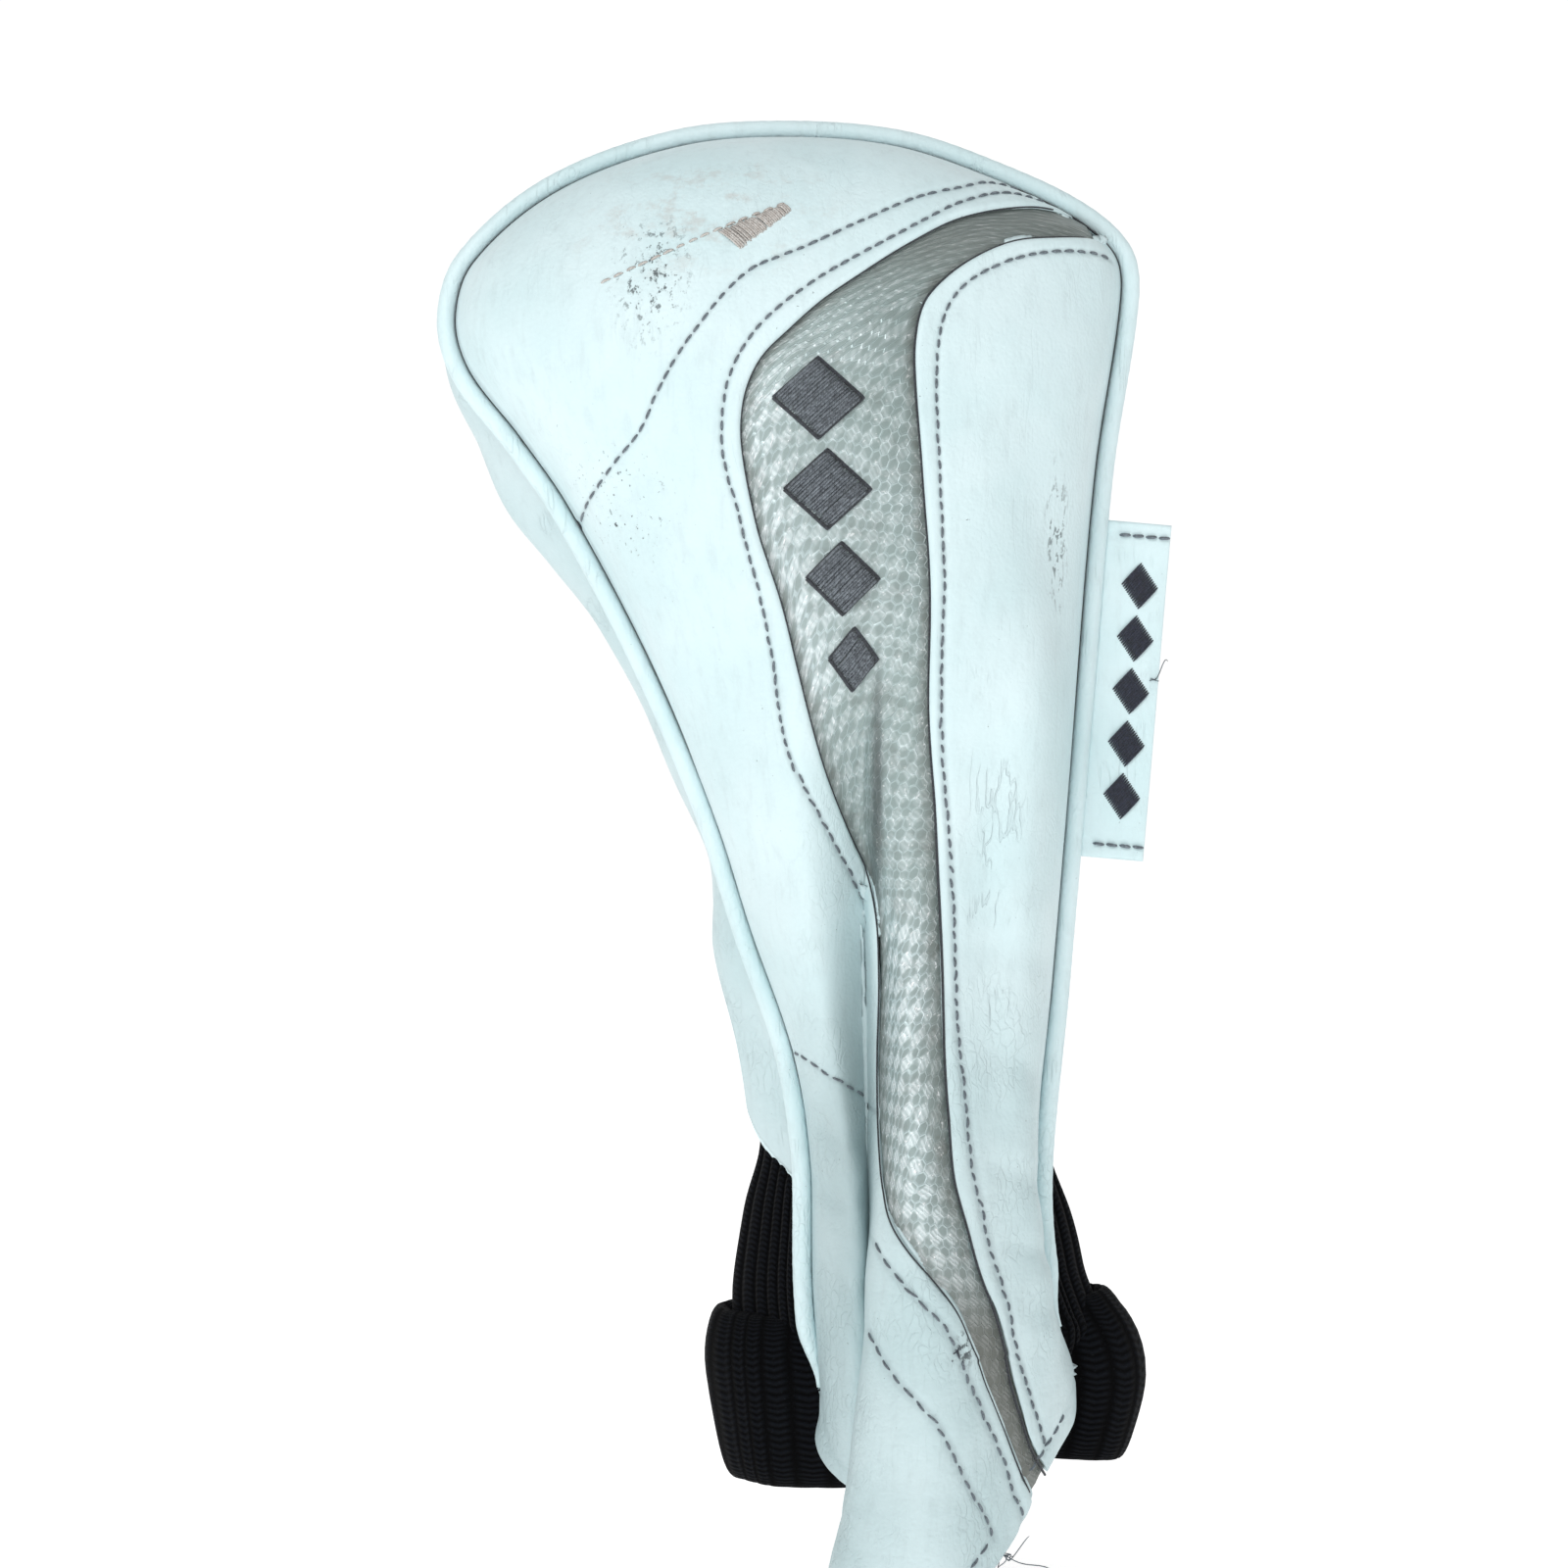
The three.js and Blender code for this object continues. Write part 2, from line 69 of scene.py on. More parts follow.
def ease(low, high, v):
    """A smooth step: 0 below low, 1 above high, and 3t^2 - 2t^3 between."""
    t = np.clip((v - low) / (high - low), 0, 1)
    return t * t * (3 - 2 * t)


def hump(centre, width, v):
    """A bell: 1 at centre, falling as exp(-((v - centre) / width)^2)."""
    return np.exp(-(((v - centre) / width) ** 2))


def through(pairs, t):
    """A smooth value through (t, value) pairs: cubic Hermite pieces, sloped like their neighbours' chord."""
    at, value = np.asarray(pairs, float).T
    slope = np.gradient(value, at) if len(at) < 3 else np.empty_like(value)
    if len(at) > 2:
        slope[1:-1] = (value[2:] - value[:-2]) / (at[2:] - at[:-2])
        slope[[0, -1]] = (value[[1, -1]] - value[[0, -2]]) / (at[[1, -1]] - at[[0, -2]])
    t = np.clip(t, at[0], at[-1])
    i = np.clip(np.searchsorted(at, t, side="right") - 1, 0, len(at) - 2)
    h = at[i + 1] - at[i]
    s = (t - at[i]) / h
    rise, fall = s**3 - 2 * s**2 + s, s**3 - s**2
    blend = 3 * s**2 - 2 * s**3
    return mix(value[i], value[i + 1], blend) + h * (rise * slope[i] + fall * slope[i + 1])


def line_through(points):
    """A smooth line through flat points, as a function of the share of its length from 0 to 1."""
    points = np.asarray(points, float)
    at = np.concatenate([[0], np.cumsum(np.linalg.norm(np.diff(points, axis=0), axis=1))])

    def line(share):
        t = np.asarray(share, float) * at[-1]
        return np.stack([through(np.c_[at, column], t) for column in points.T], -1)

    line.length = at[-1]
    return line


def beside(line, distance):
    """The line moved sideways in its plane, to its left where distance is positive."""

    def moved(share):
        along = line(np.clip(share + 1e-3, 0, 1)) - line(np.clip(share - 1e-3, 0, 1))
        along /= np.linalg.norm(along, axis=-1, keepdims=True)
        return line(share) + distance * np.stack([-along[..., 1], along[..., 0]], -1)

    moved.length = line.length
    return moved


def part_of(line, start, end):
    """The stretch of a line from one share of its length to another."""
    stretch = lambda share: line(mix(start, end, np.asarray(share, float)))
    stretch.length = line.length * abs(end - start)
    return stretch


# %% [markdown]
# ## The outline
#
# The pattern cutter starts from one closed outline, the piped seam. Both the front panels and the back
# panels are cut to it, so the script draws it once and asks it for the left and the right edge at any
# height.

# %% The piped seam and the edges of the panels
PIPING_RADIUS = 2.2
PIPING_LINE = [
    [-30.8, 47.8], [-32.6, 72], [-33.1, 100], [-37, 124], [-46, 150], [-55.2, 178.5], [-69.6, 212.4],
    [-87.6, 246.3], [-98.5, 262], [-110.3, 277.5], [-113.6, 290], [-109.5, 303.6], [-90.3, 320.3],
    [-62, 331], [-36.8, 333.2], [-10, 331], [12, 323.6], [30.8, 314.5], [40.3, 305.5], [41.8, 295],
    [36, 255.4], [31.2, 200], [26.1, 139.2], [22, 97], [23.4, 74], [27.7, 61.4],
]
piping_line = line_through(PIPING_LINE)
panel_edge = beside(piping_line, -PIPING_RADIUS)
edge_points = panel_edge(np.linspace(0, 1, 1201))
summit = int(np.argmax(edge_points[:, 1]))
TOP = edge_points[summit, 1]
# The two sides meet at TOP, so each surface stops a hair below it.
FRONT_TOP, BACK_TOP, SIDE_TOP = TOP - 0.05, TOP - 0.03, TOP - 0.02
left_side, right_side = edge_points[: summit + 1], edge_points[summit:][::-1]
LEFT_FOOT = -29.0
RIGHT_FOOT = [[0, 26], [25, 27], [35, 28.5], [46, 29.5], [54, 28.3], [61.4, right_side[0, 0]]]


def sides(z):
    """x of the panels' left and right edges at height z: on the outline, and below its ends on to the hem."""
    left_low, right_low = left_side[0, 1], right_side[0, 1]
    down_left = mix(LEFT_FOOT, left_side[0, 0], ease(20, left_low, z))
    left = np.where(z < left_low, down_left, np.interp(z, left_side[:, 1], left_side[:, 0]))
    down_right = through(RIGHT_FOOT, z)
    right = np.where(z < right_low, down_right, np.interp(z, right_side[:, 1], right_side[:, 0]))
    return left, right


# %% [markdown]
# ## The front of the shell
#
# Over the club's head the front is a pillow: flat in the middle, steep at the seam. Down the neck there is
# too much leather for the thin shaft, so it gathers into one long fold that stands forward and leans over
# to the left. Two rounded pads lie beside it. The pillow is a formula. The neck is lofted: eight rails run
# up it, each with its own side-to-side place and depth at a few heights, and a smooth curve crosses them.

# %% The pillow, the rails and the map from pattern to shell
DOME_START = 262.0
PILLOW_DEPTH = [[0, 24], [60, 24], [110, 25], [150, 29], [190, 34], [230, 38], [260, 39]]
FOLD_SHARE = [[0, 0.40], [60, 0.42], [100, 0.45], [150, 0.50], [190, 0.55], [225, 0.58], [333, 0.58]]
STATIONS = [0, 30, 60, 100, 150, 190, 225, 250]
RAIL_AT = np.array([-0.5, 0, 0.5, 0.84, 1.0, 1.2, 1.5, 1.76, 2.0, 2.24])
LOBE = [[-21, 14], [-21, 16], [-21, 18], [-23, 20], [-31, 24], [-36, 30], [-36, 36], [-38, 37]]
VALLEY = [[-20, 6], [-18.5, 7], [-16.5, 8], [-17.5, 11], [-18.5, 15], [-20, 25], [-22, 36], [-22, 38.5]]
CREST = [[-9, 47], [-6, 45], [-5, 41], [-8, 37], [-9, 32], [-8, 34], [-8, 38], [-8, 38.5]]
TROUGH = [[8, 33], [12, 31], [13, 28], [8, 26], [6, 24.5], [8, 30], [10, 36], [12, 37]]
BULGE = [[20, 20], [22, 19], [22.5, 18.5], [17, 18], [17, 19], [19, 24], [21, 31], [24, 33]]
FOLD_X = [
    [0, -27], [14, -24.7], [23, -22.3], [40, -20], [62, -17.4], [78, -17], [96, -14.8], [127, -14.4],
    [152, -15.3], [171, -16.2], [186, -16.8], [199, -16.3], [218, -14.6], [250, -14.6],
]
FOLD_DEPTH = np.c_[STATIONS, [38, 34, 30, 27, 25, 30, 37, 38.5]]


def dome(z):
    """1 up to the dome's start, then a quarter of an ellipse down to 0 at the top of the panels."""
    return np.sqrt(np.clip(1 - np.clip((z - DOME_START) / (TOP - DOME_START), 0, 1) ** 2, 0, 1))


def across_rails(values, s):
    """A cubic across the rails at s, from 0 at the left seam, over the fold at 1, to 2 at the right seam."""
    i = np.clip(np.searchsorted(RAIL_AT, s, side="right") - 1, 1, len(RAIL_AT) - 3)
    h = RAIL_AT[i + 1] - RAIL_AT[i]
    t = (s - RAIL_AT[i]) / h
    before, start, end, after = (np.take_along_axis(values, (i + k)[None], 0)[0] for k in (-1, 0, 1, 2))
    slope_start = (end - before) / (RAIL_AT[i + 1] - RAIL_AT[i - 1])
    slope_end = (after - start) / (RAIL_AT[i + 2] - RAIL_AT[i])
    bend = (t**3 - 2 * t**2 + t) * slope_start + (t**3 - t**2) * slope_end
    return mix(start, end, 3 * t**2 - 2 * t**3) + h * bend


def front_base(a, z):
    """The front's smooth surface at pattern point (a, z): a is x on the pillow, a share of the width below it.

    The pillow is depth * (1 - |2q - 1|^2.4)^0.62 at share q of the width; the neck is a cubic across the rails.
    """
    left, right = sides(z)
    q = np.clip((a - left) / np.maximum(right - left, 1e-3), 0, 1)
    depth = through(PILLOW_DEPTH, z) * (1 - np.abs(2 * q - 1) ** 2.4) ** 0.62 * dome(z)
    fold = through(FOLD_SHARE, z)
    s = np.where(q < fold, q / fold, 1 + (q - fold) / (1 - fold))
    low = np.minimum(z, STATIONS[-1])
    rails = [through(np.c_[STATIONS, np.array(rail)[:, k]], low) for k in (0, 1)
             for rail in (LOBE, VALLEY, CREST, TROUGH, BULGE)]
    xs = [left, *rails[:2], through(FOLD_X, low), *rails[2:5], right]
    ys = [0 * z, *rails[5:7], through(FOLD_DEPTH, low), *rails[7:10], 0 * z]
    xs = np.stack([xs[1], *xs, xs[-2]])
    ys = np.stack([-ys[1], *ys, -ys[-2]])
    neck = 1 - ease(185, 240, z)
    x = mix(mix(left, right, q), across_rails(xs, s), neck)
    return np.stack([x, -0.5 - mix(depth, across_rails(ys, s), neck), z], -1)


def normals_of(surface, a, z, step=0.35):
    """Unit normals by central differences: the surface's slope across, crossed with its slope up."""
    high = np.minimum(z + step, SIDE_TOP)
    across = surface(a + step, z) - surface(a - step, z)
    up = surface(a, high) - surface(a, z - step)
    normal = np.cross(across, up)
    return normal / np.maximum(np.linalg.norm(normal, axis=-1, keepdims=True), 1e-9)


def on_front(flat, lift=0.0):
    """The place on the front of flat pattern points (a, z), lifted clear of the smooth surface by lift."""
    a, z = flat[..., 0], np.minimum(flat[..., 1], FRONT_TOP)
    lift = np.broadcast_to(lift, a.shape)[..., None]
    return front_base(a, z) + normals_of(front_base, a, z) * lift


# %% [markdown]
# ## Making meshes
#
# A piece is a grid of points worked out at once. `grid_mesh` joins the grid into four-sided faces, keeps the
# distances along the cloth as its UV map in millimetres, and closes the grid on itself where it is a tube.

# %% Grids to meshes
def finish_piece(mesh, name, node_body, material, replaced=()):
    """Puts a mesh in the scene, with its material, as a piece that rides on a body and stands for CAD nodes."""
    piece = bpy.data.objects.new(name, mesh)
    bpy.context.scene.collection.objects.link(piece)
    mesh.materials.append(material)
    mesh.shade_smooth()
    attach(piece, node_body)
    if replaced:
        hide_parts(*replaced)
    return piece


def grid_faces(rows, columns, closed=False):
    """Corner numbers of the faces between neighbouring rows and columns, counter-clockwise from outside."""
    r, c = np.meshgrid(np.arange(rows - 1), np.arange(columns - (0 if closed else 1)), indexing="ij")
    right = (c + 1) % columns
    corners = [r * columns + c, r * columns + right, (r + 1) * columns + right, (r + 1) * columns + c]
    return np.stack(corners, -1).reshape(-1, 4)


def grid_mesh(name, points, uv=None, closed=False, caps=False, marks={}):
    """A mesh of a (rows, columns, 3) grid in millimetres; marks are named values for a material to read."""
    rows, columns = points.shape[:2]
    faces = [tuple(f) for f in grid_faces(rows, columns, closed)]
    if caps:
        faces += [tuple(range(columns))[::-1], tuple(range((rows - 1) * columns, rows * columns))]
    mesh = bpy.data.meshes.new(name)
    mesh.from_pydata(points.reshape(-1, 3) * MM, [], faces)
    if uv is not None:
        layer = mesh.uv_layers.new(name="cloth")
        corner = np.empty(len(mesh.loops), np.int32)
        mesh.loops.foreach_get("vertex_index", corner)
        layer.data.foreach_set("uv", uv.reshape(-1, 2)[corner].astype(np.float32).ravel())
    for mark, values in marks.items():
        mesh.attributes.new(mark, "FLOAT", "POINT").data.foreach_set("value", values.astype(np.float32).ravel())
    mesh.update()
    return mesh


def cloth_uv(points):
    """Distances in millimetres along each row and each column of a grid, for patterns that follow the cloth."""
    step_u = np.linalg.norm(np.diff(points, axis=1), axis=-1)
    step_v = np.linalg.norm(np.diff(points, axis=0), axis=-1)
    u = np.concatenate([np.zeros((len(points), 1)), np.cumsum(step_u, 1)], 1)
    v = np.concatenate([np.zeros((1, points.shape[1])), np.cumsum(step_v, 0)], 0)
    middle = u[:, points.shape[1] // 2][:, None]
    return np.stack([u - middle, v], -1)


def thicken(piece, thickness):
    """Gives an open sheet its thickness in millimetres, kept behind its face."""
    wall = piece.modifiers.new("thickness", "SOLIDIFY")
    wall.thickness = thickness * MM
    wall.offset = -1
    wall.use_even_offset = False


# %% [markdown]
# ## Finishes, written as arithmetic
#
# A procedural material is arithmetic on coordinates. Two small classes let a Python expression add the nodes:
# `Wire` wraps a socket, and `Finish` holds a material and adds any other node with one method. Lengths are in
# millimetres, so a grain of 0.8 is 0.8 mm on the leather.

# %% Wires and finishes
class Wire:
    """A node's output; arithmetic on it adds Math nodes."""

    def __init__(self, tree, socket):
        self.tree, self.socket = tree, socket

    def math(self, operation, *others, swap=False):
        """One Math node on this wire and the others, or with their order turned round."""
        values = [self, *others][:: -1 if swap else 1]
        return add_node(self.tree, "ShaderNodeMath", {"operation": operation}, dict(enumerate(values)))

    def __add__(self, other):
        return self.math("ADD", other)

    def __sub__(self, other):
        return self.math("SUBTRACT", other)

    def __rsub__(self, other):
        return self.math("SUBTRACT", other, swap=True)

    def __mul__(self, other):
        return self.math("MULTIPLY", other)

    def __truediv__(self, other):
        return self.math("DIVIDE", other)

    __radd__, __rmul__ = __add__, __mul__

    def sin(self):
        return self.math("SINE")

    def abs(self):
        return self.math("ABSOLUTE")

    def least(self, other):
        return self.math("MINIMUM", other)

    def most(self, other):
        return self.math("MAXIMUM", other)

    def fraction(self):
        return self.math("FRACT")

    def between(self, low, high):
        """Smoothly from 0 at low to 1 at high; low may be the larger."""
        links = {"Value": self, "From Min": low, "From Max": high}
        return add_node(self.tree, "ShaderNodeMapRange", {"interpolation_type": "SMOOTHSTEP"}, links, "Result")


def add_node(tree, kind, settings, links, output=0):
    """Adds a node: its settings first, then a value or a wire for each socket. Gives the chosen output."""
    node = tree.nodes.new(kind)
    for setting, value in settings.items():
        setattr(node, setting, value)
    for name, value in links.items():
        if isinstance(value, Wire):
            tree.links.new(value.socket, node.inputs[name])
        else:
            node.inputs[name].default_value = value
    return Wire(tree, node.outputs[output])


class Finish:
    """A material: a Principled shader with constants on its sockets, and methods that add nodes."""

    def __init__(self, name, constants):
        self.material = bpy.data.materials.new(name)
        self.material.use_nodes = True
        self.tree = self.material.node_tree
        self.shader = self.tree.nodes["Principled BSDF"]
        for socket, value in constants.items():
            self.shader.inputs[socket].default_value = value

    def node(self, kind, settings={}, links={}, output=0):
        """Adds any node to this material."""
        return add_node(self.tree, kind, settings, links, output)

    def place(self, source="Object"):
        """Coordinates in millimetres: the object's own, or the cloth's."""
        found = self.node("ShaderNodeTexCoord", output=source)
        return found if source == "UV" else self.scaled(found, 1000)

    def scaled(self, vector, factors):
        """A vector times one number, or times one number for each axis."""
        if isinstance(factors, (int, float)):
            factors = (factors,) * 3
        return self.node("ShaderNodeVectorMath", {"operation": "MULTIPLY"}, {0: vector, 1: factors})

    def axis(self, vector, name):
        """One coordinate of a vector."""
        return self.node("ShaderNodeSeparateXYZ", {}, {"Vector": vector}, name)

    def distance(self, vector, centre):
        """How far a vector is from a centre."""
        return self.node("ShaderNodeVectorMath", {"operation": "DISTANCE"}, {0: vector, 1: centre}, "Value")

    def mark(self, name):
        """A named value that the mesh carries."""
        return self.node("ShaderNodeAttribute", {"attribute_name": name}, {}, "Fac")

    def noise(self, vector, size, detail=2.0, rough=0.5):
        """Noise from 0 to 1, with lumps about size millimetres across."""
        links = {"Vector": vector, "Scale": 1 / size, "Detail": detail, "Roughness": rough}
        return self.node("ShaderNodeTexNoise", {}, links)

    def shifted(self, vector, amount):
        """A vector plus another, or plus three numbers."""
        return self.node("ShaderNodeVectorMath", {"operation": "ADD"}, {0: vector, 1: amount})

    def wandering(self, vector, size, reach=5.0):
        """A vector pushed about by slow noise with lumps about size across, so a pattern on it isn't ruled."""
        push = self.node("ShaderNodeTexNoise", {}, {"Vector": vector, "Scale": 1 / size}, "Color")
        push = self.node("ShaderNodeVectorMath", {"operation": "SCALE"}, {0: push, "Scale": reach})
        return self.shifted(vector, push)

    def cells(self, vector, size, feature="F1"):
        """Distance to a cell's middle, or to its edge, with cells about size millimetres across."""
        links = {"Vector": vector, "Scale": 1 / size}
        return self.node("ShaderNodeTexVoronoi", {"feature": feature}, links, "Distance")

    def blend(self, share, first, second):
        """A colour from first at share 0 to second at share 1."""
        node = self.tree.nodes.new("ShaderNodeMix")
        node.data_type = "RGBA"
        sockets = [s for s in node.inputs if s.enabled]
        for socket, value in zip(sockets, (share, first, second)):
            if isinstance(value, Wire):
                self.tree.links.new(value.socket, socket)
            else:
                socket.default_value = value
        return Wire(self.tree, next(s for s in node.outputs if s.enabled))

    def use(self, height=None, **wires):
        """Feeds the shader's sockets; height is in millimetres and goes through one Bump node."""
        if height is not None:
            bump = self.node("ShaderNodeBump", {}, {"Height": height, "Strength": 1.0, "Distance": MM})
            self.tree.links.new(bump.socket, self.shader.inputs["Normal"])
        for name, wire in wires.items():
            self.tree.links.new(wire.socket, self.shader.inputs[name.replace("_", " ")])
        return self.material


def colour(red, green, blue):
    """A colour as a four-number socket value, from display values of 0 to 255."""
    linear = [((c / 255 + 0.055) / 1.055) ** 2.4 if c > 10 else c / 255 / 12.92 for c in (red, green, blue)]
    return (*linear, 1.0)


# %% [markdown]
# ## White coated leather
#
# The shell is white synthetic leather with a faint blue-green cast. Close up it has a fine pebbled grain,
# and it has aged: soft grey smudges, tiny dark specks, an abraded patch where the cover rubs in the bag,
# and hairline cracks where it folds most. Each mark is noise passed through a threshold, held to its own
# area by a distance. Painted shade darkens the valley beside the long fold, the lower left lobe and the
# seams by the piping and the stitching, and the neck's colour darkens towards its bottom.

# %% White leather
def hairlines(finish, at, stretch, size, thin):
    """Fine wandering lines: where stretched noise passes its middle value."""
    return (finish.noise(finish.scaled(at, stretch), size, 2.5) - 0.5).abs().between(thin, thin * 0.3)


def worn_marks(finish, at):
    """Black scuffs, dotted cracks and fine wrinkles, each held to its own area by a distance."""
    rubbed = finish.distance(finish.scaled(at, (1, 1, 0.55)), (-65.0, -33.0, 161.0)).between(12, 3)
    scuff = finish.noise(finish.scaled(at, (1, 1, 0.7)), 1.5, 5, 0.72).between(0.55, 0.63) * rubbed
    below = finish.distance(at, (-72.0, -24.0, 246.0)).between(20, 4)
    scuff = scuff.most(finish.noise(at, 1.2, 4, 0.65).between(0.63, 0.68) * below)
    torn = finish.distance(finish.scaled(at, (1, 0.3, 0.17)), (23.0, -6.0, 40.6)).between(4, 1)
    torn = torn * hairlines(finish, at, (1, 1, 0.2), 2.6, 0.05) * finish.noise(at, 1.1, 2).between(0.44, 0.56)
    fray = finish.distance(finish.scaled(at, (1, 0.5, 0.5)), (2.2, -20.5, 32.0)).between(3, 1)
    fray = fray * finish.noise(at, 1.6, 4, 0.7).between(0.5, 0.56)
    return scuff.most(torn * 0.8).most(fray)


def white_leather(name, tone=1.0, worn_and_shaded=True):
    """White leather: pebbled grain, broad tone, fibres, specks and creases; worn_and_shaded adds what use has
    done, with painted shade in the valley, on the lower lobe and along the seams, and a darker lower neck.
    """
    finish = Finish(name, {"Coat Weight": 0.05, "Coat Roughness": 0.4, "Specular IOR Level": 0.4})
    at = finish.place()
    grain = finish.cells(at, 0.9, "SMOOTH_F1").between(0.1, 0.7) * 0.045 + finish.noise(at, 0.5, 3) * 0.03
    broad = finish.noise(at, 34, 3).between(0.32, 0.72)
    fibres = finish.noise(finish.scaled(at, (1, 1, 0.25)), 2.4, 4, 0.6)
    pale, dull = (colour(*(tone * value for value in shade)) for shade in ((218, 237, 240), (207, 230, 233)))
    clean = finish.blend(broad, pale, dull)
    soiled_and_shaded = finish.blend(fibres.between(0.45, 0.85) * 0.2, clean, colour(164, 178, 180))
    up = finish.axis(at, "Z")
    specks = finish.noise(at, 1.0, 3, 0.6).between(0.72, 0.755)
    folds = finish.noise(finish.scaled(at, (0.45, 0.45, 1)), 4.5, 3, 0.55) * up.between(150, 90)
    height = grain + finish.noise(at, 8, 3) * 0.2 + folds * 0.5
    marks = specks * finish.noise(at, 30, 1).between(0.45, 0.62)
    bent = finish.scaled(finish.wandering(at, 5), (1, 1, 0.45))
    creases = finish.cells(bent, 2.1, "DISTANCE_TO_EDGE").between(0.12, 0.0)
    creases = creases * finish.noise(at, 18, 2).between(0.46, 0.62) * (up.between(210, 110) * 0.8 + 0.2)
    wrinkles = hairlines(finish, at, (1, 1, 0.13), 2.6, 0.035) * finish.noise(at, 12, 2).between(0.48, 0.64)
    if worn_and_shaded:
        side = finish.distance(finish.scaled(at, (1, 0.2, 0.14)), (9.0, -6.0, 24.0)).between(9, 4)
        wrinkles = wrinkles * side.most(0.18)
        dusty = finish.noise(finish.scaled(at, (0.7, 1, 1)), 5.5, 4, 0.7).between(0.5, 0.7)
        dust_area = finish.distance(finish.scaled(at, (0.6, 1, 1)), (-32.0, -24.0, 306.0)).between(24, 8)
        soiled_and_shaded = finish.blend(dusty * dust_area * 0.4, soiled_and_shaded, colour(186, 176, 168))
        # Soiling along the seams, and painted shade in the crease by the piping and in the stitch grooves.
        grime_and_edge_shade = finish.mark("seam").between(0.9, 0.1) * (0.5 + finish.noise(at, 5, 2).between(0.35, 0.7) * 0.3)
        soiled_and_shaded = finish.blend(grime_and_edge_shade * 0.42, soiled_and_shaded, colour(116, 128, 134))
        marks = marks.most(worn_marks(finish, at))
        # Painted shade in the valley left of the long fold.
        valley_shade = finish.distance(finish.scaled(at, (1, 0.2, 0.13)), (-21.0, -2.4, 15.2)).between(9, 1.5)
        soiled_and_shaded = finish.blend(valley_shade * 0.42, soiled_and_shaded, colour(112, 130, 131))
        # Painted shade on the lower left lobe beside the fold.
        lobe = finish.distance(finish.scaled(at, (1, 0.2, 0.11)), (-27.0, -2.4, 6.6)).between(12, 3)
        soiled_and_shaded = finish.blend(lobe * 0.28, soiled_and_shaded, colour(128, 148, 152))
        # Darker colour down the neck, most towards its bottom.
        lower_neck_darker = up.between(190, 60) * (0.6 + broad * 0.4)
        soiled_and_shaded = finish.blend(lower_neck_darker * 0.34, soiled_and_shaded, colour(146, 166, 168))
    wrinkle_darkening, depth = (0.13, 0.2) if worn_and_shaded else (0.05, 0.1)  # colour and depth of the wrinkles
    soiled_and_shaded = finish.blend(wrinkles * wrinkle_darkening + creases * 0.045, soiled_and_shaded, colour(118, 130, 136))
    base = finish.blend(marks * 0.85, soiled_and_shaded, colour(34, 37, 42))
    height = height - wrinkles * depth - creases * 0.1 - marks * 0.06
    rough = 0.47 + broad * 0.1 + marks * 0.25
    return finish.use(height, Base_Color=base, Roughness=rough)


WHITE = white_leather("white leather")
# The side and sole panels take a copy 6% darker: painted shade for the leather that turns away from the light.
SIDE_WHITE_SHADED = white_leather("shaded white leather of the side", 0.94, False)
CLEAN_WHITE = white_leather("white leather of the trim", 1.01, False)
print("white leather ready")

# %% [markdown]
# ## Silver woven inlay
#
# The inlay is a coated weave: rows of small darker hexagons on a slanting silver twill. Its colour holds
# painted light too: a painted highlight band and painted glints where the fibres would catch the light,
# painted shade under the white panels' edges and in the fold, and a brown-grey painted reflection low on
# the ridge, with soiling near the seams and darker colour at the top. The pattern follows the cloth, so it
# reads the UV map. A hexagon lattice is two rectangular lattices, one moved by half a cell both ways.

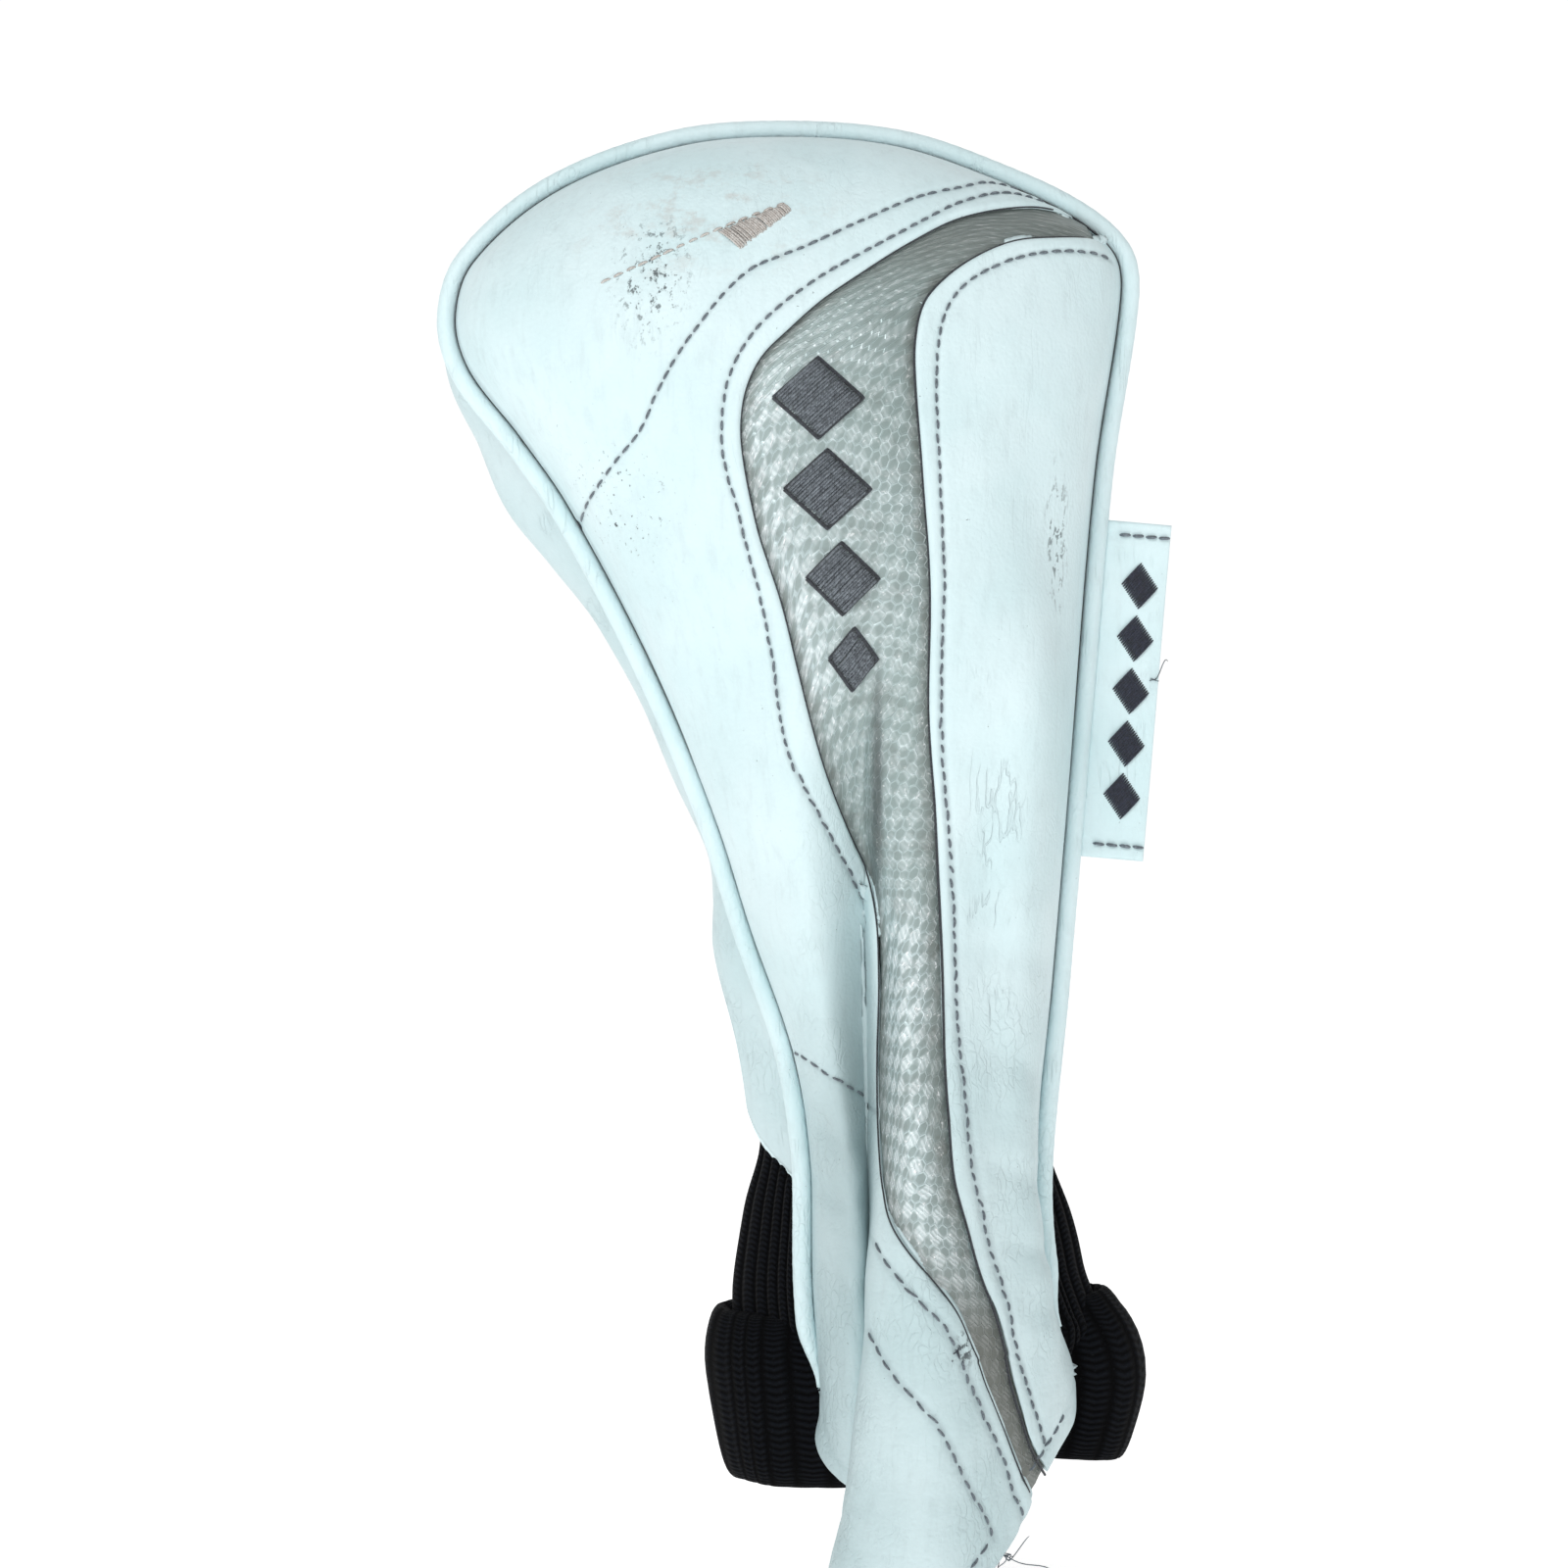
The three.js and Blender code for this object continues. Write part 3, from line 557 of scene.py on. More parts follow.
# %% Silver weave
def silver_weave():
    """Silver weave: twill scales where the sine check is bright, hexagon dots between, soiling and painted shade
    at the borders, painted highlights and glints, a painted dark reflection low down.
    """
    finish = Finish("silver weave", {"Specular IOR Level": 0.6})
    cell, block = 2.45, 9.0  # width of a hexagon's cell and of a bright block
    lie = finish.wandering(finish.place("UV"), 16)
    turned = finish.node("ShaderNodeMapping", {}, {"Vector": lie, "Rotation": (0, 0, 0.62)})
    grid = (1 / cell, 1 / cell / np.sqrt(3), 0)

    def to_middle(shift):
        """Distance to the middle of a cell, measured square to a hexagon's sides."""
        moved = finish.shifted(finish.scaled(turned, grid), shift)
        inside = finish.node("ShaderNodeVectorMath", {"operation": "FRACTION"}, {0: moved})
        x = (finish.axis(inside, "X") - 0.5).abs() * cell
        y = (finish.axis(inside, "Y") - 0.5).abs() * cell * np.sqrt(3)
        return x.most(x * 0.5 + y * 0.866)  # cosine and sine of 60 degrees

    hexagon = to_middle((0.0, 0.0, 0.0)).least(to_middle((0.5, 0.5, 0.0)))
    across, up = finish.axis(turned, "X"), finish.axis(turned, "Y")
    check = ((across + up) * (2 * np.pi / block)).sin() * ((across - up) * (2 * np.pi / block)).sin()
    bright = check.between(-0.3, 0.35)
    at = finish.place()
    z, share, border = finish.axis(at, "Z"), finish.mark("across"), finish.mark("border")
    # A painted highlight band on the left of the upper inlay and along the ridge's crest.
    lit = share.between(0.42, 0.1) * z.between(175, 215) * z.between(285, 262)
    lit = lit.most(z.between(165, 150) * share.between(0.98, 0.55) * share.between(0.0, 0.2))
    bright = bright * (0.45 + lit * 0.55)
    fibre = finish.noise(finish.scaled(turned, (1, 0.3, 1)), 0.8, 3)
    scales = ((across + up * 1.7) * 3.2 + fibre * 3).sin() * 0.5 + 0.5
    dots = hexagon.between(1.08, 0.84)
    broad = finish.noise(at, 24, 2).between(0.3, 0.7)
    ground = finish.blend(broad * 0.5 + lit * 0.5, colour(158, 176, 175), colour(198, 215, 217))
    ground = finish.blend(bright * (0.3 + scales * 0.7), ground, colour(232, 243, 245))
    ground = finish.blend(dots * (0.62 - bright * 0.5), ground, colour(128, 143, 140))
    # A painted dark reflection on the lower ridge (low), and darker colour near the top (high).
    low, high = z.between(94, 62), z.between(286, 304) * 0.55
    # Soiling in noisy patches, and painted shade along the borders under the white panels' turned edges.
    grime_and_edge_shade = finish.noise(at, 6, 4, 0.65).between(0.45, 0.75) * 0.3 + border.between(3.2, 0.4) * 0.4
    # Painted shade: a dark line down the fold beside the long ridge.
    crease = finish.distance(finish.scaled(at, (1, 0, 0.045)), (-16.6, 0.0, 8.1)).between(2.0, 0.3)
    ground = finish.blend(crease * 0.8, ground, colour(74, 82, 82))
    base = finish.blend(grime_and_edge_shade.most(low * 0.85).most(high), ground, colour(98, 98, 91))
    glint = finish.noise(turned, 0.8, 1).between(0.66, 0.72) * bright * (1 - low)
    base = finish.blend(glint, base, colour(252, 254, 255))
    height = hexagon.between(1.0, 1.25) * 0.1 + bright * scales * 0.08 + fibre * 0.04
    rough = 0.36 + dots * 0.12 + grime_and_edge_shade * 0.3
    return finish.use(height, Base_Color=base, Roughness=rough, Metallic=0.3 - low * 0.2)


SILVER = silver_weave()
print("silver weave ready")

# %% [markdown]
# ## Knit, threads and lining
#
# The sock is black rib knit: columns of little V stitches. A column is a wave across the cloth, and the V
# is a wave along it that leans away from the column's middle on both sides. Threads get a fine twist along
# their length, and the plush lining and the foam are noise.

# %% Knit, thread, lining and foam
def rib_knit(name, pitch, stitch):
    """Rib knit: sin(2 pi (along / stitch + 1.1 |side|)) gives the V loops, within columns a pitch apart."""
    finish = Finish(name, {"Sheen Weight": 0.02, "Sheen Roughness": 0.5, "Specular IOR Level": 0.1})
    lie = finish.place("UV")
    across, along = finish.axis(lie, "X"), finish.axis(lie, "Y")
    side = ((across / pitch).fraction() - 0.5).abs()
    loops = ((along / stitch + side * 1.1) * (2 * np.pi)).sin() * 0.5 + 0.5
    column = side.between(0.5, 0.22)
    yarn = finish.noise(finish.scaled(lie, (1, 3, 1)), 0.5, 3)
    # Loop crests are painted lighter and the grooves between the columns darker: painted highlight and shade of
    # the knit's relief.
    base = finish.blend(loops * column * (0.4 + yarn * 0.6), colour(0, 0, 1), colour(20, 23, 29))
    fluff = finish.noise(lie, 0.35, 2).between(0.66, 0.74)
    base = finish.blend(fluff * 0.2, base, colour(58, 62, 68))
    height = loops * column * 0.22 + column * 0.3 + yarn * 0.12
    return finish.use(height, Base_Color=base, Roughness=0.86 + yarn * 0.1)


def thread(name, dark, light, rough=0.5):
    """Thread: a fine twist, sin(9 along + 2.4 around), between a dark and a light shade."""
    finish = Finish(name, {"Specular IOR Level": 0.5, "Sheen Weight": 0.15})
    lie = finish.place("UV")
    twist = (finish.axis(lie, "Y") * 9 + finish.axis(lie, "X") * 2.4).sin() * 0.5 + 0.5
    shade = finish.noise(finish.place(), 0.7, 3, 0.7).between(0.35, 0.68)
    base = finish.blend(twist * 0.3 + shade * 0.7, dark, light)
    return finish.use(twist * 0.07, Base_Color=base, Roughness=rough + twist * 0.15)


def plush(name, dark, light, size):
    """Plush or foam: noise for the tufts, and cells three times as large for the clumps."""
    finish = Finish(name, {"Sheen Weight": 0.5, "Sheen Roughness": 0.6, "Specular IOR Level": 0.15})
    at = finish.place()
    tuft = finish.noise(at, size, 4, 0.7)
    clump = finish.cells(at, size * 3)
    base = finish.blend(tuft.between(0.3, 0.75), dark, light)
    return finish.use(tuft * 0.8 + clump * 0.5, Base_Color=base, Roughness=0.9 + tuft * 0.1)


RIB = 2.2
KNIT = rib_knit("black rib knit", RIB, 1.25)
CUFF_RIB = 2.45
CUFF_KNIT = rib_knit("black cuff knit", CUFF_RIB, 1.3)
GREY_THREAD = thread("grey thread", colour(80, 90, 98), colour(128, 138, 146))
SLATE_THREAD = thread("slate embroidery", colour(48, 53, 60), colour(136, 145, 153), 0.4)
# This dark thread also makes the painted shadow lines by the piping and along the inlay.
DARK_EDGE_AND_SHADOW_THREAD = thread("dark embroidery edge and painted shadow line", colour(22, 25, 30), colour(62, 68, 76))
NAVY_THREAD = thread("navy embroidery", colour(12, 16, 30), colour(48, 54, 74), 0.4)
TAUPE_THREAD = thread("taupe embroidery", colour(178, 170, 163), colour(212, 210, 206))
LINING = plush("grey plush", colour(34, 36, 40), colour(92, 95, 100), 1.1)
FOAM = plush("foam", colour(196, 194, 180), colour(226, 225, 214), 0.8)
print(len(bpy.data.materials), "materials")

# %% [markdown]
# ## Where the panels meet
#
# The silver inlay is a strip between two seams, and the white panels lie over its edges with their own
# edges turned under. Each seam is a curve on the flat pattern. The lower hem is a curve too: high at the
# sides, and running down to a point at the foot of the long fold.

# %% Seams on the pattern
INLAY_LEFT = [
    [14.8, 28.5], [12.7, 36], [10.1, 47.4], [6, 58.2], [2.6, 66.1], [-1.9, 78], [-4.5, 84.4], [-7.6, 92.8],
    [-9, 104], [-9.6, 125], [-10, 143], [-11.6, 158], [-18.9, 171.9], [-27.6, 191.6], [-35.4, 210.4],
    [-39.6, 227.7], [-43.4, 243.5], [-45.7, 256], [-45.9, 262.8], [-44.6, 269.6], [-41.4, 276],
    [-35.6, 282], [-28.7, 288.3], [-20.7, 294], [-9.6, 301.5], [1.7, 307.9], [17.9, 312.3], [28.3, 312.6],
]
INLAY_RIGHT = [
    [18.6, 31.5], [15.3, 39], [13.3, 46.8], [9.5, 57.7], [4.8, 70.6], [2.9, 79], [1.9, 90.8], [1.5, 100],
    [1.9, 113.6], [2.2, 133], [1.7, 150.6], [1.2, 163], [0.2, 181.3], [-2, 202], [-4.6, 222.8],
    [-6.4, 240], [-7.6, 255.9], [-8.7, 268.7], [-8.8, 279], [-6.8, 288], [-1.9, 294], [5.4, 299.3],
    [13.7, 303.2], [23.1, 305], [34.6, 306.6],
]
HEM = [
    [-29, 43], [-28.2, 39], [-25.5, 34], [-21, 30.2], [-16, 28], [-12, 25.5], [-10, 20], [-8.4, 10],
    [-6.8, 2.5], [-4, 0], [0, 3.6], [4.4, 9.6], [8.2, 15.7], [12, 22.5], [15, 29], [20.1, 35], [25, 40.5],
    [28.9, 46.5],
]
inlay_left, inlay_right = line_through(INLAY_LEFT), line_through(INLAY_RIGHT)


def share_near(line, point):
    """The share of a line's length where it passes nearest to a point."""
    shares = np.linspace(0, 1, 2001)
    return shares[np.argmin(np.linalg.norm(line(shares) - point, axis=1))]


def distance_to(line, flat, samples=260):
    """Distance from flat points to a line: nearest of the short straight stretches between its samples."""
    knots = line(np.linspace(0, 1, samples))
    points = flat.reshape(-1, 2)
    nearest = np.argmin(((points[:, None] - knots[None, ::2]) ** 2).sum(-1), 1) * 2
    best = np.full(len(points), np.inf)
    for shift in (-2, -1, 0, 1):
        i = np.clip(nearest + shift, 0, samples - 2)
        start, along = knots[i], knots[i + 1] - knots[i]
        t = np.clip(((points - start) * along).sum(1) / np.maximum((along**2).sum(1), 1e-9), 0, 1)
        best = np.minimum(best, np.linalg.norm(points - start - t[:, None] * along, axis=1))
    return best.reshape(flat.shape[:-1])


left_end, right_end = (share_near(panel_edge, seam(1.0)) for seam in (inlay_left, inlay_right))
left_outer = line_through([[-29, 42], [-28.9, 45], *panel_edge(np.linspace(0, left_end, 90))])
right_outer = line_through([[28.9, 46.5], [29.1, 50], [28.6, 54], *panel_edge(np.linspace(1, right_end, 70))])
print("seams", round(inlay_left.length), round(inlay_right.length), round(left_outer.length), "mm")

# %% [markdown]
# ## The white front panels and the silver inlay
#
# A panel is a patch ruled from one seam to the other, laid on the smooth front and then lifted a little:
# rounded down at the turned edge, sunk along the stitching, puffed by the foam between, and creased where
# hands and the club have folded it. Solidify gives the sheet its thickness behind the face.

# %% Front panels
LEATHER = 1.3  # thickness
TURN, EDGE_HIGH = 1.3, 1.4  # width and height of the rounded, turned-under edge
STITCH_IN, HEM_ROW_IN = 4.2, 4.2  # from the turned edge and from the hem to their stitching
ACCENT_UPPER = [
    [-84, 242.4], [-78.9, 248], [-72.9, 254.9], [-67, 261.3], [-63.8, 268.2], [-59.4, 276.1], [-54.9, 282.5],
    [-49.4, 289.5], [-43.5, 294.9], [-31.7, 300.3], [-19.8, 306.2], [-7.6, 312.2], [1.7, 315.1], [11.9, 318.6],
    [18.2, 318.1],
]
ACCENT_LOBE = [[-32, 124.4], [-27.2, 123.9], [-22.5, 121.5], [-16.3, 116.5], [-9.6, 112.1]]
ACCENT_RIDGE = [[-7.4, 66], [-3.9, 59.7], [0.5, 52.3], [2.9, 47.4], [4.9, 37.5], [6.6, 28.6], [8, 22.2]]
LEFT_UPPER_ROW = [
    [-13.7, 153.6], [-17.1, 160], [-25.4, 176.3], [-35.2, 195.1], [-41, 213.9], [-43.9, 231.2], [-46.4, 243],
    [-48.6, 250], [-50, 258.5], [-49.2, 268.7], [-46.2, 276.6], [-40.4, 284.2], [-30.2, 292.4], [-20, 298.8],
    [-9, 305.2], [2, 311.4], [14, 315.4], [24, 315.6],
]
LEFT_LOWER_ROW = [
    [-8.8, 84.9], [-5.7, 79], [-2.6, 72.6], [1.1, 65.2], [3.9, 58.6], [7.5, 49.3], [9.8, 40.5], [11.5, 30],
    [12.7, 23],
]
RIGHT_ROW = [
    [18.2, 39.5], [16.4, 46], [12.8, 54.8], [8.2, 64.7], [4.9, 78], [3.7, 93], [3.5, 105], [3.9, 119],
    [3.8, 139], [2.9, 167.4], [0.2, 200], [-2.7, 232.1], [-3.7, 249.9], [-4.2, 261.8], [-4.2, 273.6],
    [-3.4, 282], [-1, 288.5], [3.2, 293.3], [10.4, 297.6], [19.8, 300.9], [29.8, 302.2], [36.5, 302],
]
left_upper_row, left_lower_row, right_row = map(line_through, (LEFT_UPPER_ROW, LEFT_LOWER_ROW, RIGHT_ROW))
accent_upper, accent_lobe, accent_ridge = map(line_through, (ACCENT_UPPER, ACCENT_LOBE, ACCENT_RIDGE))
FRONT_ROWS = (left_upper_row, left_lower_row, right_row, accent_upper, accent_lobe, accent_ridge)
hem_line = line_through(HEM)
# Soft creases: start and end on the pattern, then width and depth in millimetres.
CREASES = [
    [(-30, 112), (-16, 104), 3.2, 1.2], [(-31, 96), (-18, 92), 2.6, 0.8], [(-31, 138), (-18, 132), 4, 1.0],
    [(-30, 80), (-14, 70), 4, 1.0], [(-28, 62), (-15, 55), 3, 0.8], [(8, 128), (21, 116), 4, 1.0],
    [(6, 102), (19, 92), 3, 0.9], [(7, 84), (20, 78), 2.6, 0.8], [(9, 71), (22, 66), 3, 0.8],
    [(5, 150), (22, 146), 5, 0.9], [(14, 262), (32, 190), 7, 1.2], [(-70, 262), (-62, 222), 8, 0.9],
    [(-40, 172), (-30, 160), 5, 1.0], [(-7, 120), (0, 112), 2.5, 0.6], [(-6, 82), (3, 74), 2, 0.5],
    [(8, 175), (12, 140), 3, 0.6], [(-4, 30), (2, 44), 2.5, 0.7], [(22, 60), (27, 52), 2.5, 0.7],
]


def creased(flat):
    """How far soft creases sink the leather: a bell across each line, fading to its ends."""
    sunk = 0
    for start, end, width, depth in CREASES:
        along = np.subtract(end, start)
        t = ((flat - start) @ along) / (along @ along)
        gap = np.linalg.norm(flat - start - np.clip(t, 0, 1)[..., None] * along, axis=-1)
        sunk = sunk + depth * hump(0, width, gap) * hump(0.5, 0.55, t)
    return sunk


def uneven(flat, size, seed):
    """A slow, repeatable waviness from -1 to 1: five sines in seeded directions."""
    turns = np.random.default_rng(seed).uniform(0, 2 * np.pi, (5, 2))
    waves = [np.sin((flat[..., 0] * np.cos(t) + flat[..., 1] * np.sin(t)) * (1 + 0.3 * k) / size + p)
             for k, (t, p) in enumerate(turns)]
    return sum(waves) / 5


def ruled(first, second, u, v):
    """Flat points between two lines: u along both, v from the first to the second; the foot follows the hem."""
    flat = mix(first(u), second(u), v[..., None])
    foot = mix(first(0 * u), second(0 * u), v[..., None])
    drop = through(HEM, foot[..., 0]) - foot[..., 1]
    flat[..., 1] += drop * (1 - ease(0, 0.24, u))
    return flat


def crowded(count):
    """Shares from 0 to 1, closer together at both ends: (1 - cos(pi t)) / 2."""
    return (1 - np.cos(np.pi * np.linspace(0, 1, count))) / 2


def panel_lift(flat, seam, outer):
    """How far a white panel stands off the smooth front: turned edge, groove, padding, seams and creases."""
    inside, outside, foot = (distance_to(line, flat) for line in (seam, outer, hem_line))
    turned = lambda gap: np.sqrt(np.clip(1 - np.clip(1 - gap / TURN, 0, 1) ** 2, 0, 1))
    lift = EDGE_HIGH * turned(inside) * mix(0.45, 1, turned(foot)) * ease(-0.5, 7, outside)
    lift -= 0.35 * hump(HEM_ROW_IN, 0.8, foot)
    lift += 0.9 * ease(STITCH_IN, 24, inside) * ease(0, 14, outside)
    for row in FRONT_ROWS:
        lift -= 0.45 * hump(0, 0.8, distance_to(row, flat))
    return lift + (0.45 * uneven(flat, 9, 3) - creased(flat)) * ease(0, 8, outside)


def white_panel(name, outer, seam, match, rows, columns, node):
    """A white panel from its piped edge to its turned edge; match pairs shares of the one with the other."""
    u, v = np.meshgrid(np.linspace(0, 1, rows), crowded(columns), indexing="ij")
    piped = lambda share: outer(through(match, share))
    flat = ruled(piped, seam, u, v)
    near = np.minimum.reduce([distance_to(outer, flat) - 0.4, *(distance_to(row, flat) for row in FRONT_ROWS)])
    points = on_front(flat, panel_lift(flat, seam, outer))
    # Columns run from left to right on both panels, so that their faces point out.
    rightward = slice(None, None, 1 if flat[0, 0, 0] < flat[0, -1, 0] else -1)
    points, flat, near = points[:, rightward], flat[:, rightward], near[:, rightward]
    mesh = grid_mesh(name, points, flat, marks={"seam": near})
    piece = finish_piece(mesh, name, "shell", WHITE, [node])
    thicken(piece, LEATHER)
    return piece


LEFT_MATCH = [[0, 0], [0.2, 0.1], [0.4, 0.26], [0.55, 0.42], [0.7, 0.56], [0.8, 0.7], [0.9, 0.86], [1, 1]]
RIGHT_MATCH = [[0, 0], [0.3, 0.26], [0.6, 0.6], [0.8, 0.84], [0.9, 0.93], [1, 1]]
left_panel = white_panel(
    "white_panel_left", left_outer, inlay_left, LEFT_MATCH, 400, 116, "crown_panel_left")
right_panel = white_panel(
    "white_panel_right", right_outer, inlay_right, RIGHT_MATCH, 400, 84, "crown_panel_right")
print("white panels", len(left_panel.data.polygons), len(right_panel.data.polygons), "faces")

# %% The silver inlay, tucked under both white edges
UNDERLAP = 1.4
u, v = np.meshgrid(np.linspace(0, 1, 420), np.linspace(0, 1, 60), indexing="ij")
INLAY_MATCH = [[0, 0], [0.25, 0.26], [0.5, 0.55], [0.7, 0.745], [0.85, 0.86], [1, 1]]
tucked_right = beside(inlay_right, -UNDERLAP)
inlay_flat = ruled(beside(inlay_left, UNDERLAP), lambda share: tucked_right(through(INLAY_MATCH, share)), u, v)
inlay_flat[..., 1] += 1.0 * (1 - ease(0, 0.02, u))
from_edge = np.minimum(distance_to(inlay_left, inlay_flat), distance_to(inlay_right, inlay_flat))
inside_strip = (v > 0.04) & (v < 0.96)
inlay_lift = -0.35 + 0.9 * ease(0, 7, from_edge) * inside_strip
inlay_lift = inlay_lift + 0.25 * uneven(inlay_flat, 5, 9) - 0.4 * creased(inlay_flat)
inlay_points = on_front(inlay_flat, inlay_lift)
marks = {"border": from_edge, "across": v}
inlay_mesh = grid_mesh("silver_inlay", inlay_points, cloth_uv(inlay_points), marks=marks)
silver_inlay = finish_piece(inlay_mesh, "silver_inlay", "shell", SILVER, ["silver_inlay_panel"])
thicken(silver_inlay, 0.9)
print("silver inlay", len(inlay_mesh.polygons), "faces")


# %% [markdown]
# ## The back of the shell
#
# Behind the piped seam a curved side panel, the gusset, runs round the head, and a sole panel closes the
# back. The section swells past the seam on the tag's far side, because the club's head is round there.
# Eleven stops from the left seam to the right one give the section, and their depth and swell change with
# height.

# %% The back surface
BACK_GAP = 1.3
BACK_DEPTH = [[20, 31], [60, 34], [110, 37], [150, 42], [190, 47], [230, 51], [260, 51]]
LEFT_SWELL = [
    [20, 14], [64, 17], [85, 15], [100, 12.5], [130, 12], [146, 9.5], [158, 6], [170, 4], [195, 6],
    [222, 7], [236, 11], [250, 14], [266, 9], [283, 4], [300, 2], [333, 0],
]
RIGHT_SWELL = [[20, 9], [66, 10], [84, 9], [98, 5.5], [112, 3], [140, 2], [333, 0.5]]
BACK_SHARES = [0, 0.14, 0.38, 0.74, 0.96, 1, 0.96, 0.74, 0.38, 0.14, 0]


def across_back(values, q):
    """A cubic through eleven equally spaced stops, at share q from the left seam to the right one."""
    values = np.stack(np.broadcast_arrays(2 * values[0] - values[1], *values, 2 * values[-1] - values[-2]))
    i = np.clip(np.floor(q * 10).astype(int), 0, 9) + 1
    t = q * 10 - i + 1
    before, start, end, after = (np.take_along_axis(values, (i + k)[None], 0)[0] for k in (-1, 0, 1, 2))
    bend = (t**3 - 2 * t**2 + t) * (end - before) / 2 + (t**3 - t**2) * (after - start) / 2
    return mix(start, end, 3 * t**2 - 2 * t**3) + bend


def back_base(q, z, depth=0.0):
    """The back at share q and height z, depth millimetres inside its face."""
    q, z = np.broadcast_arrays(np.asarray(q, float), np.minimum(z, BACK_TOP))
    left, right = sides(z)
    middle, half = (left + right) / 2, (right - left) / 2
    half = half - depth * np.tanh(half / 12)
    left, right = middle - half, middle + half
    swell_l, swell_r = through(LEFT_SWELL, z), through(RIGHT_SWELL, z)
    xs = [
        left, left - 0.35 * swell_l, left - swell_l, left + 0.2 * half - 0.5 * swell_l, left + 0.6 * half, middle,
        right - 0.6 * half, right - 0.2 * half + 0.5 * swell_r, right + swell_r, right + 0.35 * swell_r, right,
    ]
    shares = [np.full_like(z, share) for share in BACK_SHARES]
    y = BACK_GAP + (through(BACK_DEPTH, z) - depth) * dome(z) * across_back(shares, q)
    return np.stack([across_back(xs, q), y, z], -1)


def on_back(q, z, lift=0.0, depth=0.0):
    """A place on the back, lifted along the normal."""
    step = 0.004
    across = back_base(np.clip(q + step, 0, 1), z, depth) - back_base(np.clip(q - step, 0, 1), z, depth)
    above, below = np.minimum(z + 0.4, FRONT_TOP), np.minimum(z, TOP - 0.5) - 0.4
    up = back_base(q, above, depth) - back_base(q, below, depth)
    normal = np.cross(up, across)
    normal /= np.maximum(np.linalg.norm(normal, axis=-1, keepdims=True), 1e-9)
    return back_base(q, z, depth) + normal * np.broadcast_to(lift, np.shape(q))[..., None]


def share_across(x, z):
    """The share q of a flat point on the back."""
    left, right = sides(np.minimum(z, BACK_TOP))
    return np.clip((x - left) / np.maximum(right - left, 0.02), 0, 1)


# %% [markdown]
# ## Gusset, sole panel and the arch that lets the sock in
#
# The lower edge of the back is an arch, bound with a thin roll of leather, where the knitted sock comes
# out. The gusset is a band from the piping to the sole seam. Both panels sink towards their seam and stand
# a little proud between seams, as padded leather does.

# %% Gusset band, sole panel, arch binding
ARCH = [
    [0, 93.5], [0.1, 96], [0.15, 101.5], [0.2, 112], [0.25, 127], [0.3, 140], [0.4, 157], [0.5, 165],
    [0.6, 164.5], [0.75, 153], [0.9, 133], [1, 117],
]
QUARTER = 0.25  # the gusset's share of the back on each side
GUSSET_TOP = 0.7  # how far up the dome the sole panel reaches
SEAM_ROW_IN = 4.0  # from the sole seam to the stitches on both sides of it


def arch_height(q):
    """Height of the arch over the share q of the back: low and slow on the left, then a steep round top."""
    return through(ARCH, q)


def under_dome(z):
    """The dome's heights drawn down to leave room for the gusset over the top."""
    up_dome = (z - DOME_START) / (TOP - DOME_START)
    return np.where(z <= DOME_START, z, mix(DOME_START, TOP, up_dome * GUSSET_TOP))


def proud(gap):
    """A padded panel's lift at a distance from its seam: up over 9 mm, with a groove along the stitches."""
    return 1.2 * ease(0, 9, gap), 0.7 * hump(SEAM_ROW_IN, 0.9, gap)


def share_at(side, z):
    """The share of the outline's length at height z on one of its sides."""
    point = [np.interp(z, side[:, 1], side[:, 0]), z]
    return share_near(panel_edge, point)


def sole_seam(share):
    """Flat points of the sole seam: half way from the middle of the back to the outline, and under the dome."""
    edge = panel_edge(share)
    left, right = sides(np.minimum(edge[..., 1], SIDE_TOP))
    return np.stack([mix((left + right) / 2, edge[..., 0], 0.5), under_dome(edge[..., 1])], -1)


outer_ends = share_at(left_side, ARCH[0][1]), share_at(right_side, ARCH[-1][1])
seam_ends = share_at(left_side, arch_height(QUARTER)), share_at(right_side, arch_height(1 - QUARTER))
v, u = np.meshgrid(np.linspace(0, 1, 520), 1 - np.cos(np.pi / 2 * np.linspace(0, 1, 72)), indexing="ij")
outer_at = panel_edge(mix(*outer_ends, v))
seam_at = sole_seam(mix(*seam_ends, v))
band_flat = mix(outer_at, seam_at, u[..., None])
# The band's two ends follow the arch: each end's gap is shared out over the rows near it.
band_share = share_across(band_flat[..., 0], band_flat[..., 1])
gap = arch_height(band_share) - band_flat[..., 1]
drop = gap[:1] * (1 - ease(0, 0.12, v)) + gap[-1:] * ease(0.88, 1, v)
band_x, band_z = band_flat[..., 0], band_flat[..., 1] + drop
band_x = np.where(drop == 0, band_x, mix(*sides(np.minimum(band_z, SIDE_TOP)), band_share))
band_flat = np.stack([band_x, band_z], -1)
width = np.linalg.norm(seam_at - outer_at, axis=-1)
to_seam, to_piping = (1 - u) * width, u * width
padded, groove = proud(to_seam)
band_lift = padded * ease(0, 5, to_piping) - groove
band_lift += 0.6 * uneven(band_flat, 7, 21) * ease(0, 6, to_piping) * ease(0, 6, to_seam)
band_points = on_back(share_across(band_x, band_z), band_z, band_lift)
band_mesh = grid_mesh("gusset", band_points[::-1], band_flat[::-1])
gusset = finish_piece(band_mesh, "gusset", "shell", SIDE_WHITE_SHADED, ["gusset_band"])
thicken(gusset, LEATHER)

